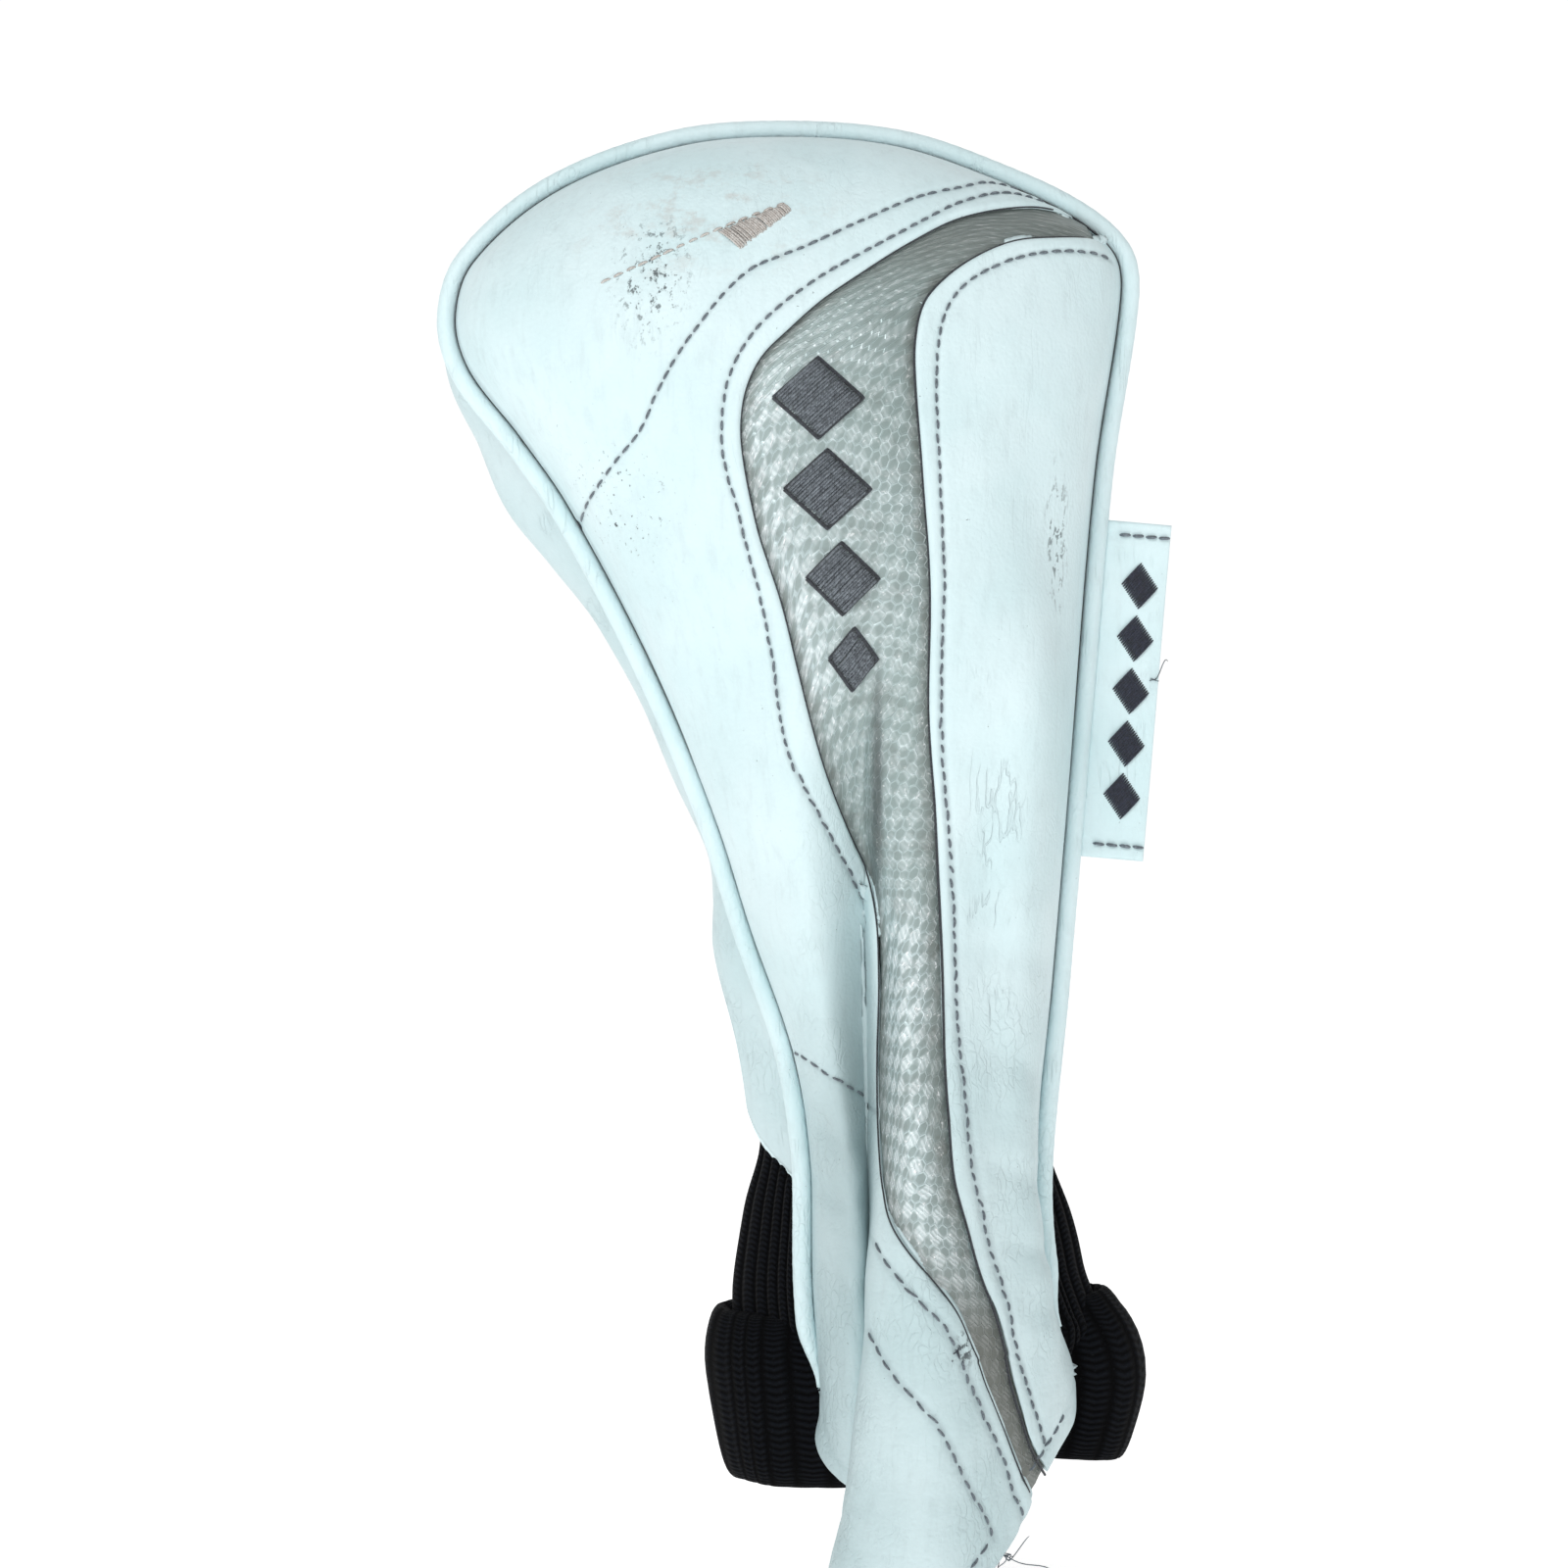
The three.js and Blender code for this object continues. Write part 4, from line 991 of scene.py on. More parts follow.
v, u = np.meshgrid(np.linspace(0, 1, 200), np.linspace(0, 1, 130), indexing="ij")
q = mix(QUARTER, 1 - QUARTER, u)
reach = mix(arch_height(q), TOP - 1.2, 1 - (1 - v) ** 1.6)
reach_left, reach_right = sides(reach)
sole_x = mix(reach_left, reach_right, q)
sole_z = under_dome(reach)
edge_gap = np.minimum(u, 1 - u) * 0.5 * (reach_right - reach_left)
sole_flat = np.stack([sole_x, sole_z], -1)
padded, groove = proud(edge_gap)
sole_lift = padded - groove + 0.6 * uneven(sole_flat, 8, 5)
sole_points = on_back(share_across(sole_x, sole_z), sole_z, sole_lift)
sole_mesh = grid_mesh("sole", sole_points[:, ::-1], sole_flat[:, ::-1])
sole = finish_piece(sole_mesh, "sole", "shell", SIDE_WHITE_SHADED, ["sole_panel"])
thicken(sole, LEATHER)
print("back panels", len(band_mesh.polygons), len(sole_mesh.polygons), "faces")

# %% [markdown]
# ## Tubes and threads
#
# Piping, bindings, threads and loose ends are all the same thing: a round section carried along a line. One
# function makes any number of tubes in one mesh. Their points come as an array of lines, each with its
# normals, and the section's radius may change on the way.

# %% Tubes along lines
def tubes(name, centres, normals, radii, around=6):
    """A mesh of closed tubes: centre + r (n cos t + b sin t), with b square to the line and to its normal n."""
    count, steps = centres.shape[:2]
    along = np.gradient(centres, axis=1)
    along /= np.maximum(np.linalg.norm(along, axis=-1, keepdims=True), 1e-9)
    side = np.cross(along, normals)
    side /= np.maximum(np.linalg.norm(side, axis=-1, keepdims=True), 1e-9)
    upright = np.cross(side, along)
    turn = np.linspace(0, 2 * np.pi, around, endpoint=False)
    ring = upright[:, :, None] * np.cos(turn)[:, None] + side[:, :, None] * np.sin(turn)[:, None]
    points = centres[:, :, None] + ring * np.broadcast_to(radii, (count, steps))[:, :, None, None]
    one = grid_faces(steps, around, closed=True)
    faces = (one[None] + (np.arange(count) * steps * around)[:, None, None]).reshape(-1, 4)
    start = np.arange(around)[::-1]
    ends = [tuple(k * steps * around + start) for k in range(count)]
    ends += [tuple((k + 1) * steps * around - 1 - start) for k in range(count)]
    mesh = bpy.data.meshes.new(name)
    mesh.from_pydata(points.reshape(-1, 3) * MM, [], [tuple(f) for f in faces] + ends)
    run = np.cumsum(np.linalg.norm(np.diff(centres, axis=1), axis=-1), 1)
    travelled = np.concatenate([np.zeros((count, 1)), run], 1)
    uv = np.stack(np.broadcast_arrays(turn[None, None], travelled[:, :, None]), -1).reshape(-1, 2)
    corner = np.empty(len(mesh.loops), np.int32)
    mesh.loops.foreach_get("vertex_index", corner)
    mesh.uv_layers.new(name="cloth").data.foreach_set("uv", uv[corner].astype(np.float32).ravel())
    mesh.update()
    return mesh


def rounded_ends(steps, blunt=0.35):
    """Radius shares along a short tube: full in the middle, falling to blunt at both ends."""
    t = np.linspace(-1, 1, steps)
    return mix(blunt, 1, np.sqrt(np.clip(1 - t**4, 0, 1)))


# %% The piping and the arch binding
FORWARD = np.array([0.0, -1.0, 0.0])
PUCKER = 3.4  # the piping is drawn in a little at each of its own stitches
TIP_TUCK = 2.2  # the piping's thinned ends move this far inwards, and its lower runs this far forward
steps = 760
piping_x, piping_z = piping_line(np.linspace(0, 1, steps)).T
travelled = np.linspace(0, piping_line.length, steps)
from_tip = np.minimum(travelled, piping_line.length - travelled)
piping_x += np.where(np.arange(steps) < steps / 2, TIP_TUCK, -TIP_TUCK) * (1 - ease(0, 16, from_tip))
piping_y = -TIP_TUCK * (1 - ease(45, 85, from_tip))
piping_points = np.stack([piping_x, piping_y, piping_z], -1)[None]
pucker = 1 + 0.012 * np.sin(travelled * 2 * np.pi / PUCKER)
piping_radii = PIPING_RADIUS * pucker * mix(0.35, 1, ease(0, 14, from_tip))
piping_mesh = tubes("piping", piping_points, np.broadcast_to(FORWARD, piping_points.shape), piping_radii, 22)
finish_piece(piping_mesh, "piping", "shell", CLEAN_WHITE, ["perimeter_piping"])

# A painted shadow: thin dark tubes of thread stand for the shade in the crease between the piping and the
# panels and along the inlay's edges.
shadow_line_path = beside(piping_line, -PIPING_RADIUS - 0.05)
shadow_line_at = shadow_line_path(np.linspace(0.002, 0.998, 700))
shadow_line_points = np.stack([shadow_line_at[:, 0], np.full(700, -1.5), shadow_line_at[:, 1]], -1)[None]
shadow_line_mesh = tubes("piping_shadow_line", shadow_line_points, np.broadcast_to(FORWARD, shadow_line_points.shape), 0.26, 6)
finish_piece(shadow_line_mesh, "piping_shadow_line", "shell", DARK_EDGE_AND_SHADOW_THREAD)
# Painted shadow lines along the inlay's right and left edges.
INLAY_SHADOW_LINES = [("inlay_shadow_line_right", inlay_right, 0.5, 0.3), ("inlay_shadow_line_left", inlay_left, 0.4, 0.2)]
for name, line, lift, radius in INLAY_SHADOW_LINES:
    flat = line(np.linspace(0.005, 0.985, 500))[None]
    flat[..., 1] = np.minimum(flat[..., 1], FRONT_TOP)
    shadow_edge_mesh = tubes(name, on_front(flat, lift), normals_of(front_base, flat[..., 0], flat[..., 1]), radius, 6)
    finish_piece(shadow_edge_mesh, name, "shell", DARK_EDGE_AND_SHADOW_THREAD)

q = np.linspace(0.015, 0.985, 260)
binding_points = on_back(q, arch_height(q) - 0.4, -0.2)[None]
binding_mesh = tubes("arch_roll", binding_points, binding_points - [0, -10, 0], 1.35, 14)
finish_piece(binding_mesh, "arch_roll", "shell", CLEAN_WHITE, ["arch_binding"])
print("piping", round(piping_line.length), "mm")

# %% [markdown]
# ## The knitted sock and its cuff
#
# The sock is rib knit: the ribs are real ridges here, and the V stitches are in the finish. It grips the
# shaft from behind and hangs out of the arch. The cuff is the same knit turned up double, so it is thick,
# ribbed all round and rounded at both rims. The sock gets a mesh of its own.

# %% Sock and cuff
SOCK_IN = 3.5  # how far inside the back's face the knit hangs
SOCK_LOW = 34.0
RIB_HIGH = 0.42
CUFF_LOW, CUFF_HIGH, CUFF_FROM, CUFF_THICK = 25, 65, 0.02, 10


def girth(z, start, end, count):
    """Shares q at equal steps of length round the back at height z, and the length at each."""
    fine = np.linspace(start, end, 4000)
    line = back_base(fine, np.full_like(fine, z), SOCK_IN)
    run = np.concatenate([[0], np.cumsum(np.linalg.norm(np.diff(line, axis=0), axis=1))])
    length = np.linspace(0, run[-1], count)
    return np.interp(length, run, fine), length


def ribbed(run, pitch):
    """Rib height along a round: RIB_HIGH |cos(pi run / pitch)|^0.8."""
    return RIB_HIGH * np.abs(np.cos(run * np.pi / pitch)) ** 0.8


share, run = girth(95.0, 0.0, 1.0, 560)
v, q = np.meshgrid(np.linspace(0, 1, 72), share, indexing="ij")
sock_z = mix(SOCK_LOW, arch_height(q) + 7, v)
sag = 0.7 * uneven(np.stack([q * 120, sock_z], -1), 6, 31)
# The knit flares down to the cuff, and is drawn in under the arch and at both sides.
flare = 1.4 + 3.6 * (1 - ease(66, 125, sock_z))
below_arch = 1 - ease(-6, 3, sock_z - arch_height(q))
sag += flare * ease(50, 60, sock_z) * below_arch * np.minimum(1, 6 * np.sin(np.pi * q))
sock_points = on_back(q, sock_z, ribbed(run, RIB)[None] + sag - 0.4, SOCK_IN)
sock_uv = np.stack([np.broadcast_to(run[None] + RIB / 2, q.shape), sock_z], -1)
sock_mesh = grid_mesh("knit_sock_ribbed", sock_points[:, ::-1], sock_uv[:, ::-1])
sock = finish_piece(sock_mesh, "knit_sock_ribbed", "shell", KNIT, ["knit_sock"])

share, run = girth(45.0, CUFF_FROM, 1 - CUFF_FROM, 420)
TUCK = 13.0  # length at each end that turns in behind the front panels
turn, q = np.meshgrid(np.linspace(0, 2 * np.pi, 44, endpoint=False), share, indexing="ij")
bead = np.sin(turn)
tall = np.sign(np.cos(turn)) * np.abs(np.cos(turn)) ** np.where(np.cos(turn) < 0, 1.15, 0.95)
from_end = np.minimum(run, run[-1] - run)
tucked = (1 - ease(0, TUCK, from_end))[None]
rightward = ease(0.6, 0.95, q)  # the cuff is thinner and shorter towards the tag's side
wobble = 0.9 * uneven(np.stack([q * 120, turn * 6], -1), 5, 12)
half_high = (CUFF_HIGH - CUFF_LOW - 0.6) / 2 * mix(1, 0.92, rightward)
cuff_z = (CUFF_LOW + CUFF_HIGH) / 2 + half_high * tall + wobble + mix(-2.2, 3.6, q)
swollen = (CUFF_THICK - 1) / 2 * bead + ribbed(run, CUFF_RIB) * (bead > -0.3)
outward = mix(4.6, 2.9, rightward) + mix(1, 0.6, rightward) * swollen * mix(1, 0.55, tucked) + wobble * 0.5
outward += 1.2 * hump(52, 10, cuff_z) * (bead > 0)
cuff_base = on_back(q, cuff_z, 0.0)
cuff_normal = on_back(q, cuff_z, 1.0) - cuff_base
# Its ends turn from pointing out of the back to pointing forward, and move in behind the front panels.
inward = np.sign(0.5 - q)[..., None] * np.array([1.0, 0.0, 0.0])
turned_in = mix(cuff_normal, FORWARD, tucked[..., None] ** 1.5)
turned_in /= np.linalg.norm(turned_in, axis=-1, keepdims=True)
cuff_points = cuff_base + inward * (15 * tucked[..., None] ** 1.6)
cuff_points += turned_in * (outward - 6.8 * tucked ** 1.5)[..., None]
cuff_points = np.concatenate([cuff_points, cuff_points[:1]])
CUFF_ROUND = 14.5  # millimetres of cloth for each radian round the cuff's section
cuff_uv = np.stack([np.broadcast_to(run[None], q.shape), turn * CUFF_ROUND], -1)
cuff_uv = np.concatenate([cuff_uv, np.stack([run, np.full_like(run, 2 * np.pi * CUFF_ROUND)], -1)[None]])
cuff_mesh = grid_mesh("knit_cuff_ribbed", cuff_points, cuff_uv)
finish_piece(cuff_mesh, "knit_cuff_ribbed", "cuff", CUFF_KNIT, ["knit_cuff"])
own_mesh(sock)
print("knit", len(sock_mesh.polygons), len(cuff_mesh.polygons), "faces")

# %% [markdown]
# ## Padding and lining
#
# Between the leather and the club lies a sheet of foam, and inside it grey plush. They are seen only up the
# neck and at the arch. Each is a closed sheet inside the shell, following the front without its fold, and
# the back.

# %% Inner layers
LINED_DEPTH = [[0, 15], [140, 15], [175, 20], [205, 31], [230, 37], [260, 39]]


def inner_front(q, z, depth):
    """The front without its fold, depth millimetres in: half width times a flattened arc."""
    left, right = sides(z)
    middle, half = (left + right) / 2, (right - left) / 2
    half = half - depth * np.tanh(half / 12)
    rise = (through(LINED_DEPTH, z) - depth) * (1 - np.abs(2 * q - 1) ** 2.4) ** 0.62
    return np.stack([middle + (2 * q - 1) * half, -0.5 - rise * dome(z), sink(z, depth)], -1)


def sink(z, depth):
    """Heights in the dome lowered by depth at the top."""
    return np.where(z <= DOME_START, z, mix(DOME_START, TOP - depth, (z - DOME_START) / (TOP - DOME_START)))


def layer(name, depth, thickness, front, node, slot, material, rough):
    """A padded sheet inside the front or the back, open at the neck."""
    v, t = np.meshgrid(1 - (1 - np.linspace(0, 1, 110)) ** 1.7, np.linspace(0, 1, 90), indexing="ij")
    q = mix(0.02, 0.98, (1 - np.cos(np.pi * t)) / 2)
    left, right = sides(np.full_like(q, 100))
    hem = through(HEM, mix(left, right, q))
    low = np.maximum(hem + 4, 36) if front else arch_height(q) + 16
    z = mix(low, TOP - 0.6, v)
    if front:
        points = inner_front(q, z, depth)
    else:
        points = back_base(q, z, depth)
        points[..., 2] = sink(z, depth)
        points = points[:, ::-1]
    points = points + rng.normal(0, rough, points.shape) * (v[..., None] < 0.98)
    mesh = grid_mesh(name, points, np.stack([q * 100, z], -1))
    piece = finish_piece(mesh, name, "shell", material, [node])
    thicken(piece, thickness)


layer("front_padding", 3.5, 2.0, True, "front_foam", "foam", FOAM, 0.02)
layer("back_padding", 3.5, 2.0, False, "back_foam", "foam", FOAM, 0.02)
layer("front_plush", 7.6, 1.8, True, "front_lining", "plush_lining", LINING, 0.14)
layer("back_plush", 7.6, 1.8, False, "back_lining", "plush_lining", LINING, 0.14)
print("lining ready")

# %% [markdown]
# ## Topstitching
#
# A row of topstitching is many short threads, each rising out of one hole and diving into the next. The
# rows follow the turned edges of the white panels, the hem and two accent seams. Each stitch is a tube with
# six steps and six sides, so hundreds stay light.

# %% Stitch rows
STITCH_PITCH, STITCH_LONG, THREAD_R = 2.9, 2.3, 0.29


def stitches(name, place, length, node, material=GREY_THREAD, wander=0.1):
    """Short, a little uneven threads along a line; place gives points and normals for shares and side steps."""
    count = int(length / STITCH_PITCH)
    starts = (np.arange(count) + 0.5) * STITCH_PITCH + rng.normal(0, 0.08, count)
    longs = STITCH_LONG * rng.uniform(0.88, 1.06, count)
    t = np.linspace(-0.5, 0.5, 7)
    sideways = rng.normal(0, wander, (count, 1)) + t * rng.normal(0, 0.2, (count, 1))
    points, normals = place(np.clip((starts[:, None] + t * longs[:, None]) / length, 0, 1), sideways)
    arch = 0.42 * (1 - (2 * t) ** 2) - 0.12
    mesh = tubes(name, points + normals * arch[:, None], normals, THREAD_R * rounded_ends(7), 6)
    finish_piece(mesh, name, "shell", material, [node] if node else ())
    return count


def along_front(line, ground):
    """Places along a flat line on the leather of the front, whose height is ground."""

    def place(share, sideways):
        flat = line(share) + sideways[..., None] * np.array([0.7, 0.7])
        flat[..., 1] = np.minimum(flat[..., 1], FRONT_TOP)
        normals = normals_of(front_base, flat[..., 0], flat[..., 1])
        return on_front(flat, ground(flat)), normals

    return place


left_ground = lambda flat: panel_lift(flat, inlay_left, left_outer)
right_ground = lambda flat: panel_lift(flat, inlay_right, right_outer)
ROWS = [
    ("stitches_left_upper", left_upper_row, left_ground, "inlay_stitch_left_upper"),
    ("stitches_left_lower", left_lower_row, left_ground, "inlay_stitch_left_lower"),
    ("stitches_right", right_row, right_ground, "inlay_stitch_right"),
    ("stitches_accent_upper", part_of(accent_upper, 0.01, 0.99), left_ground, "accent_stitch_upper"),
    ("stitches_accent_lobe", part_of(accent_lobe, 0.02, 0.98), left_ground, None),
    ("stitches_accent_ridge", accent_ridge, left_ground, "accent_stitch_lower"),
    ("stitches_hem_left", part_of(beside(hem_line, HEM_ROW_IN), 0.5, 0.72), left_ground, None),
    ("stitches_hem_right", part_of(beside(hem_line, HEM_ROW_IN), 0.83, 0.97), right_ground, "hem_stitch_right"),
]
total = sum(stitches(name, along_front(line, ground), line.length, node) for name, line, ground, node in ROWS)
print(total, "stitches on the front")


def along_back(q_line, z_line, lift):
    """Places along a line on the back, given by its share q and height z at each share of its length."""

    def place(share, sideways):
        q, z = q_line(share) + sideways * 0.005, z_line(share)
        points = on_back(q, z, lift)
        return points, (on_back(q, z, lift + 1) - points)

    return place


def beside_sole_seam(inset):
    """A line inset millimetres beside the sole seam, as its shares q, its heights z and its length."""
    whole = beside(line_through(sole_seam(np.linspace(*seam_ends, 600))[::12]), inset)
    shares = np.linspace(0, 1, 800)
    x, z = whole(shares).T
    sewn = shares[z > arch_height(share_across(x, z)) + 3]  # 3 mm short of the arch at both ends
    line = lambda share: whole(mix(sewn[0], sewn[-1], share))
    q_of = lambda share: share_across(line(share)[..., 0], line(share)[..., 1])
    return q_of, lambda share: line(share)[..., 1], whole.length * (sewn[-1] - sewn[0])


FLAT_TO_BACK = 1.25  # stretches a length on the flat pattern, to count the stitches on the curved back
for name, inset in (("stitches_gusset", SEAM_ROW_IN), ("stitches_sole", -SEAM_ROW_IN)):
    q_line, z_line, long = beside_sole_seam(inset)
    total += stitches(name, along_back(q_line, z_line, 0.3), long * FLAT_TO_BACK, None)
print(total, "stitches in all")


# %% [markdown]
# ## Satin-stitch embroidery
#
# Satin stitch is thread laid side by side, each arching from one edge of the shape to the other over a
# little padding. The four lozenges down the inlay are made thread by thread, with a roll of thread round
# each for its raised outline. A small golf flag on the crown is sewn the same way in taupe.

# %% Lozenges on the inlay, and the flag
LOZENGES = [[-29.5, 267, 9.6, 8.6], [-27.5, 247.5, 9.2, 8.4], [-24.5, 228.5, 8, 7.6], [-21.5, 211.5, 6.2, 6.6]]


def sewn_patch(name, start_at, end_at, outline, node, material, ground, radius=0.33, spacing=0.6):
    """Arched threads from one edge of a patch to the other, and a roll of thread round an outline if given."""
    length = np.linalg.norm(np.diff(start_at(np.linspace(0, 1, 60)), axis=0), axis=1).sum()
    count = max(int(length / spacing), 4)
    share = np.linspace(0.02, 0.98, count)[:, None]
    t = np.linspace(0, 1, 9)[None]
    flat = mix(start_at(share), end_at(share), t[..., None]) + rng.normal(0, 0.05, (count, 1, 2))
    height = ground(flat) + 1.1 * (4 * t * (1 - t)) ** 0.6 + rng.normal(0, 0.12, (count, 1))
    centres = on_front(flat, height)
    normals = normals_of(front_base, flat[..., 0], flat[..., 1])
    threads = tubes(name, centres, normals, radius * rounded_ends(9, 0.6), 5)
    finish_piece(threads, name, "shell", material, [node])
    if outline is not None:
        edge = np.asarray(outline, float)
        corners = np.concatenate([edge, edge[:1]])
        run = np.linspace(0, len(edge), 30 * len(edge) + 1)
        path = np.stack([np.interp(run, np.arange(len(corners)), c) for c in corners.T], -1)[None]
        rope = on_front(path, ground(path) + 0.25)
        roll = tubes(name + "_edge", rope, normals_of(front_base, path[..., 0], path[..., 1]), 0.42, 8)
        finish_piece(roll, name + "_edge", "shell", DARK_EDGE_AND_SHADOW_THREAD)


def straight(start, end):
    """A straight line between two flat points, as a function of its share."""
    return lambda share: mix(np.array(start), np.array(end), np.asarray(share)[..., None])


inlay_ground = lambda flat: 0.5 + 0 * flat[..., 0]
for i, (x, z, wide, high) in enumerate(LOZENGES, 1):
    west, east, south, north = ([x - wide, z], [x + wide, z], [x, z - high], [x, z + high])
    sewn_patch(f"satin_lozenge_{i}", straight(west, south), straight(north, east), [west, south, east, north],
               f"inlay_lozenge_{i}",
               SLATE_THREAD, inlay_ground)

pole = line_through([[-76, 292], [-56, 301], [-36, 309.5]])
stitches("flag_pole", along_front(pole, left_ground), pole.length, "flag_pole_embroidery", TAUPE_THREAD,
         0.05)
flag_edge = part_of(pole, 0.62, 0.98)
flag_fly = lambda s: flag_edge(s) + mix(7.0, 2.4, np.asarray(s, float))[..., None] * np.array([0.77, -0.64])
sewn_patch("flag_pennant", flag_edge, flag_fly, None, "flag_pennant_embroidery", TAUPE_THREAD,
           lambda flat: left_ground(flat) - 0.5, 0.28, 0.5)
print("embroidery done")

# %% [markdown]
# ## The side tag
#
# A folded strip of white leather stands out of the right seam. It is a flat loop: rounded along its fold, a
# little bowed, stitched across at both ends, with a bold woven motif up its middle. It swings on its seam,
# so its pieces ride on the tag body.

# %% The tag, its stitches and its motif
TAG_LOW, TAG_HIGH = np.array([31.7, 168.0]), np.array([38.3, 244.5])
TAG_WIDE, TAG_THICK, TAG_Y = 12.4, 1.8, 0.9
TAG_SEWN = 3.2  # from the tag's ends to their stitching
tag_up = (TAG_HIGH - TAG_LOW) / np.linalg.norm(TAG_HIGH - TAG_LOW)
tag_out = np.array([tag_up[1], -tag_up[0]])
TAG_LONG = np.linalg.norm(TAG_HIGH - TAG_LOW)


def on_tag(out, up, back):
    """A place on the tag: out from its seam, up along it, and back from its middle sheet; it bows a little."""
    flat = (TAG_LOW + TAG_HIGH) / 2 + out[..., None] * tag_out + up[..., None] * tag_up
    bow = 0.35 * np.sin(up / TAG_LONG * 5) * out / TAG_WIDE
    return np.stack([flat[..., 0], TAG_Y + back + bow, flat[..., 1]], -1)


# Its section is a superellipse, wide enough to reach in under the piping.
turn = np.linspace(0, 2 * np.pi, 72, endpoint=False)
section_out = TAG_WIDE / 2 - 0.3 + (TAG_WIDE / 2 + 1.2) * np.sign(np.cos(turn)) * np.abs(np.cos(turn)) ** 0.28
section_back = (TAG_THICK / 2) * np.sign(np.sin(turn)) * np.abs(np.sin(turn)) ** 0.5
up_steps = np.linspace(-TAG_LONG / 2, TAG_LONG / 2, 150)
end_round = np.clip(np.minimum(up_steps + TAG_LONG / 2, TAG_LONG / 2 - up_steps) / 0.8, 0, 1)
thick_share = mix(0.55, 1, np.sqrt(1 - (1 - end_round) ** 2))[:, None]
sewn_in = 1 - 0.28 * hump(TAG_LONG / 2 - TAG_SEWN, 1.0, np.abs(up_steps))[:, None]
tag_points = on_tag(*np.broadcast_arrays(section_out, up_steps[:, None]), section_back * thick_share * sewn_in)
tag_mesh = grid_mesh("tag_strip", tag_points, closed=True, caps=True)
finish_piece(tag_mesh, "tag_strip", "tag", CLEAN_WHITE, ["side_tag"])


def tag_threads(name, starts, ends, node, material, radius, arch):
    """Threads on the tag's front face from (out, up) starts to ends."""
    t = np.linspace(0, 1, 7)[None, :, None]
    flat = mix(starts[:, None], ends[:, None], t)
    rise = arch * (4 * t[..., 0] * (1 - t[..., 0])) ** 0.6
    centres = on_tag(flat[..., 0], flat[..., 1], -TAG_THICK / 2 - 0.05 - np.broadcast_to(rise, flat.shape[:2]))
    mesh = tubes(name, centres, np.broadcast_to(FORWARD, centres.shape), radius * rounded_ends(7, 0.5), 6)
    finish_piece(mesh, name, "tag", material, [node])


for end, side in (("top", 1), ("bottom", -1)):
    at = 1.6 + np.arange(4) * 3.0
    starts = np.stack([at, np.full(4, side * (TAG_LONG / 2 - TAG_SEWN))], -1)
    tag_threads(f"tag_stitches_{end}", starts, starts + [2.4, 0.15 * side], f"tag_stitch_{end}", GREY_THREAD,
                0.42, 0.35)
LOZENGE_WIDE, LOZENGE_HIGH, LOZENGE_APART = 4.1, 5.2, 12.0
for i in range(5):
    middle = np.array([TAG_WIDE / 2 + 0.9, (i - 2) * LOZENGE_APART])
    share = np.linspace(0, 1, 13)
    starts = middle + straight([-LOZENGE_WIDE, 0.0], [0.0, -LOZENGE_HIGH])(share)
    ends = middle + straight([0.0, LOZENGE_HIGH], [LOZENGE_WIDE, 0.0])(share)
    name, node = f"tag_motif_{i + 1}", f"tag_lozenge_{i + 1}"
    tag_threads(name, starts, ends, node, NAVY_THREAD, 0.3, 0.4)
print("tag", round(TAG_LONG, 1), "mm long")

# %% [markdown]
# ## Loose ends
#
# An old cover has a few frayed threads: at the hem of the long fold, at the crease of the ridge and beside
# the tag. They are thin tubes along short wandering curves, drawn from a seeded generator, so they are the
# same each run.

# %% Frayed threads
def loose_threads(name, root, spread, count, long, body, material, droop=(0.0, -0.4, -1.0)):
    """Thin wandering threads: a start near the root, a seeded direction bent by its droop, and a slow curl."""
    t = np.linspace(0, 1, 14)[None, :, None]
    start = root + rng.normal(0, 1, (count, 1, 3)) * spread
    heading = rng.normal(0, 0.6, (count, 1, 3)) + np.array(droop)
    curl = rng.normal(0, 1, (count, 1, 3)) * np.sin(t * rng.uniform(2, 6, (count, 1, 1)))
    centres = start + (heading * t + curl * t * 0.45) * long * rng.uniform(0.5, 1, (count, 1, 1))
    normals = np.broadcast_to([0.31, -0.9, 0.3], centres.shape)
    mesh = tubes(name, centres, normals, 0.13 * rounded_ends(14, 0.4), 5)
    finish_piece(mesh, name, body, material)


hem_tip = on_front(np.array([[9.5, 18.0]]), 0.6)[0]
crease_spot = on_front(np.array([[1.6, 64.0]]), 1.4)[0]
tag_side = on_tag(np.array([11.5]), np.array([3.0]), np.array([-1.0]))[0]
loose_threads("loose_hem", hem_tip, (0.9, 0.4, 0.9), 7, 7.0, "shell", GREY_THREAD,
              (0.5, -0.2, -0.9))
loose_threads("loose_crease", crease_spot, (0.6, 0.2, 1.6), 6, 1.8, "shell", NAVY_THREAD,
              (0.1, -0.3, -0.5))
loose_threads("loose_tag", tag_side, (0.3, 0.1, 0.6), 2, 6.0, "tag", GREY_THREAD,
              (0.6, -0.3, 0.6))

# %% [markdown]
# ## Studio
#
# A pale floor, a white room and two soft lights. The room is brighter behind the cover and in front of it
# than at its sides, which gives the turned-away leather its grey, helped by the side panels' painted shade.
# The camera looks straight at the front.

# %% Camera, floor and light
AWAY, SEEN = 0.650, 0.3568  # distance of the camera, and the width it sees there
camera_data = bpy.data.cameras.new("camera")
camera_data.sensor_width = 36.0
camera_data.lens = 36.0 * AWAY / SEEN
camera_data.clip_end = 50
camera = bpy.data.objects.new("camera", camera_data)
camera.location = (-0.0368, -AWAY, 0.1845)
camera.rotation_euler = (np.pi / 2, 0, 0)
bpy.context.scene.collection.objects.link(camera)
bpy.context.scene.camera = camera

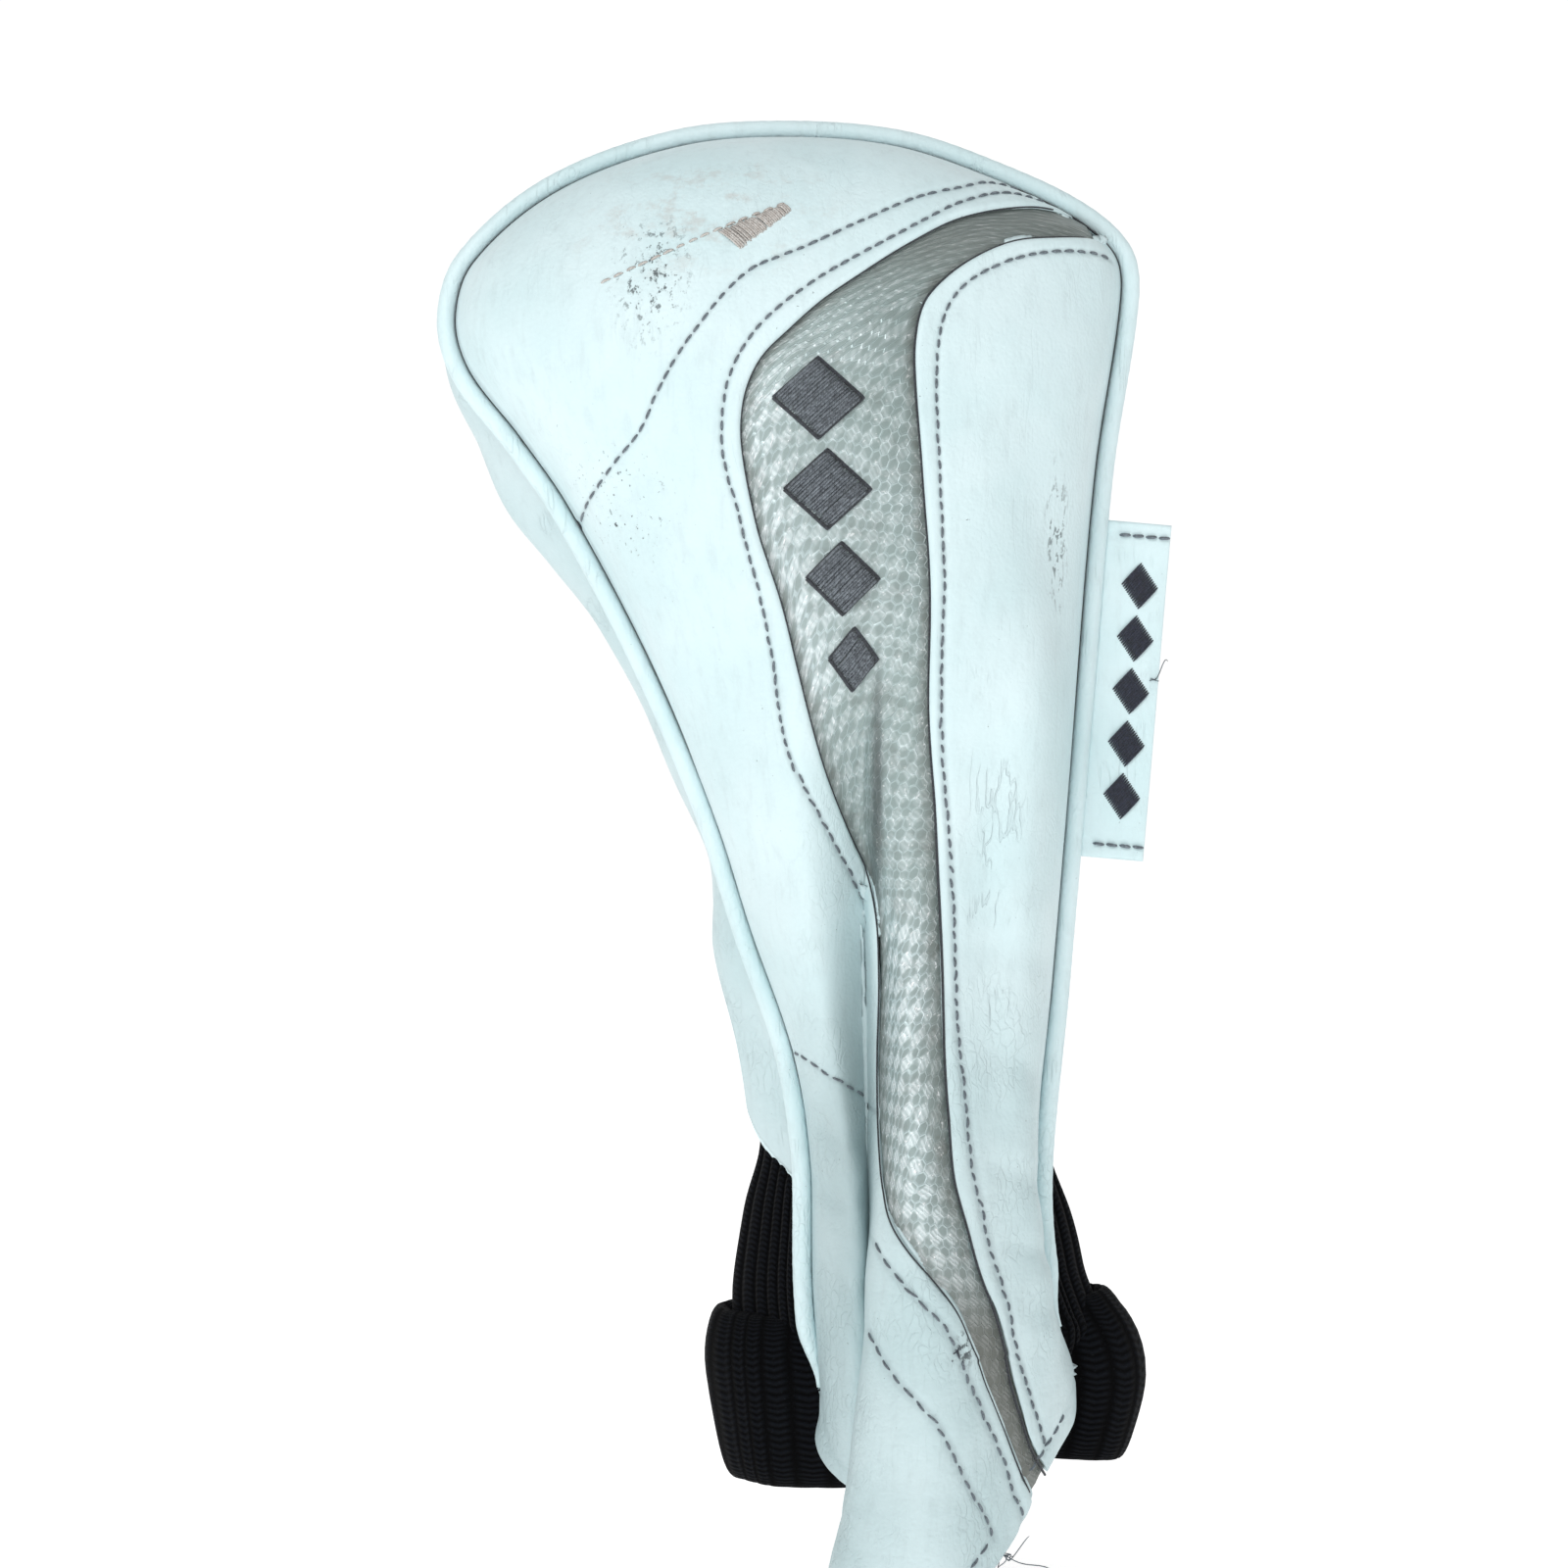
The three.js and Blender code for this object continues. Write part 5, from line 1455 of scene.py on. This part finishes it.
FLOOR_HALF, FLOOR_Z = 4000.0, -3.0
floor_x, floor_y = np.meshgrid([-FLOOR_HALF, FLOOR_HALF], [-FLOOR_HALF, FLOOR_HALF])
floor_mesh = grid_mesh("floor", np.stack([floor_x, floor_y, np.full((2, 2), FLOOR_Z)], -1))
floor = bpy.data.objects.new("floor", floor_mesh)
bpy.context.scene.collection.objects.link(floor)
pale = Finish("pale floor", {"Roughness": 0.9, "Specular IOR Level": 0.1, "Emission Strength": 0.6,
                             "Emission Color": (1.0, 1.0, 1.0, 1.0)})
tone = pale.noise(pale.place(), 900).between(0.3, 0.7)
floor_mesh.materials.append(pale.use(Base_Color=pale.blend(tone, (0.9, 0.9, 0.9, 1), (0.94, 0.94, 0.94, 1))))

world = bpy.data.worlds.new("white room")
world.use_nodes = True
bpy.context.scene.world = world
tree = world.node_tree
look = add_node(tree, "ShaderNodeTexCoord", {}, {}, "Generated")
depth = add_node(tree, "ShaderNodeSeparateXYZ", {}, {"Vector": look}, "Y")
up = add_node(tree, "ShaderNodeSeparateXYZ", {}, {"Vector": look}, "Z")
behind, in_front, overhead = depth.between(0.35, 0.8), depth.between(-0.3, -0.9), up.between(-0.2, 0.9)
strength = behind * 0.68 + in_front * 0.04 + overhead * 0.12 + 0.33
tree.nodes["Background"].inputs["Color"].default_value = (1.0, 1.0, 1.0, 1.0)
tree.links.new(strength.socket, tree.nodes["Background"].inputs["Strength"])


def soft_light(name, place, aim, size, power):
    """A square area light at a place, turned to an aim; places and size in metres, power in watts."""
    data = bpy.data.lights.new(name, "AREA")
    data.size, data.energy = size, power
    light = bpy.data.objects.new(name, data)
    away = np.subtract(place, aim)
    light.location = place
    light.rotation_euler = (np.arctan2(np.hypot(away[0], away[1]), away[2]), 0, np.arctan2(away[0], -away[1]))
    bpy.context.scene.collection.objects.link(light)


soft_light("key", (-0.55, -1.25, 0.95), (0, 0, 0.2), 0.7, 8.8)
soft_light("fill", (0.9, -1.2, 0.5), (0, 0, 0.15), 1.0, 1.2)
bpy.context.scene.view_settings.view_transform = "Standard"
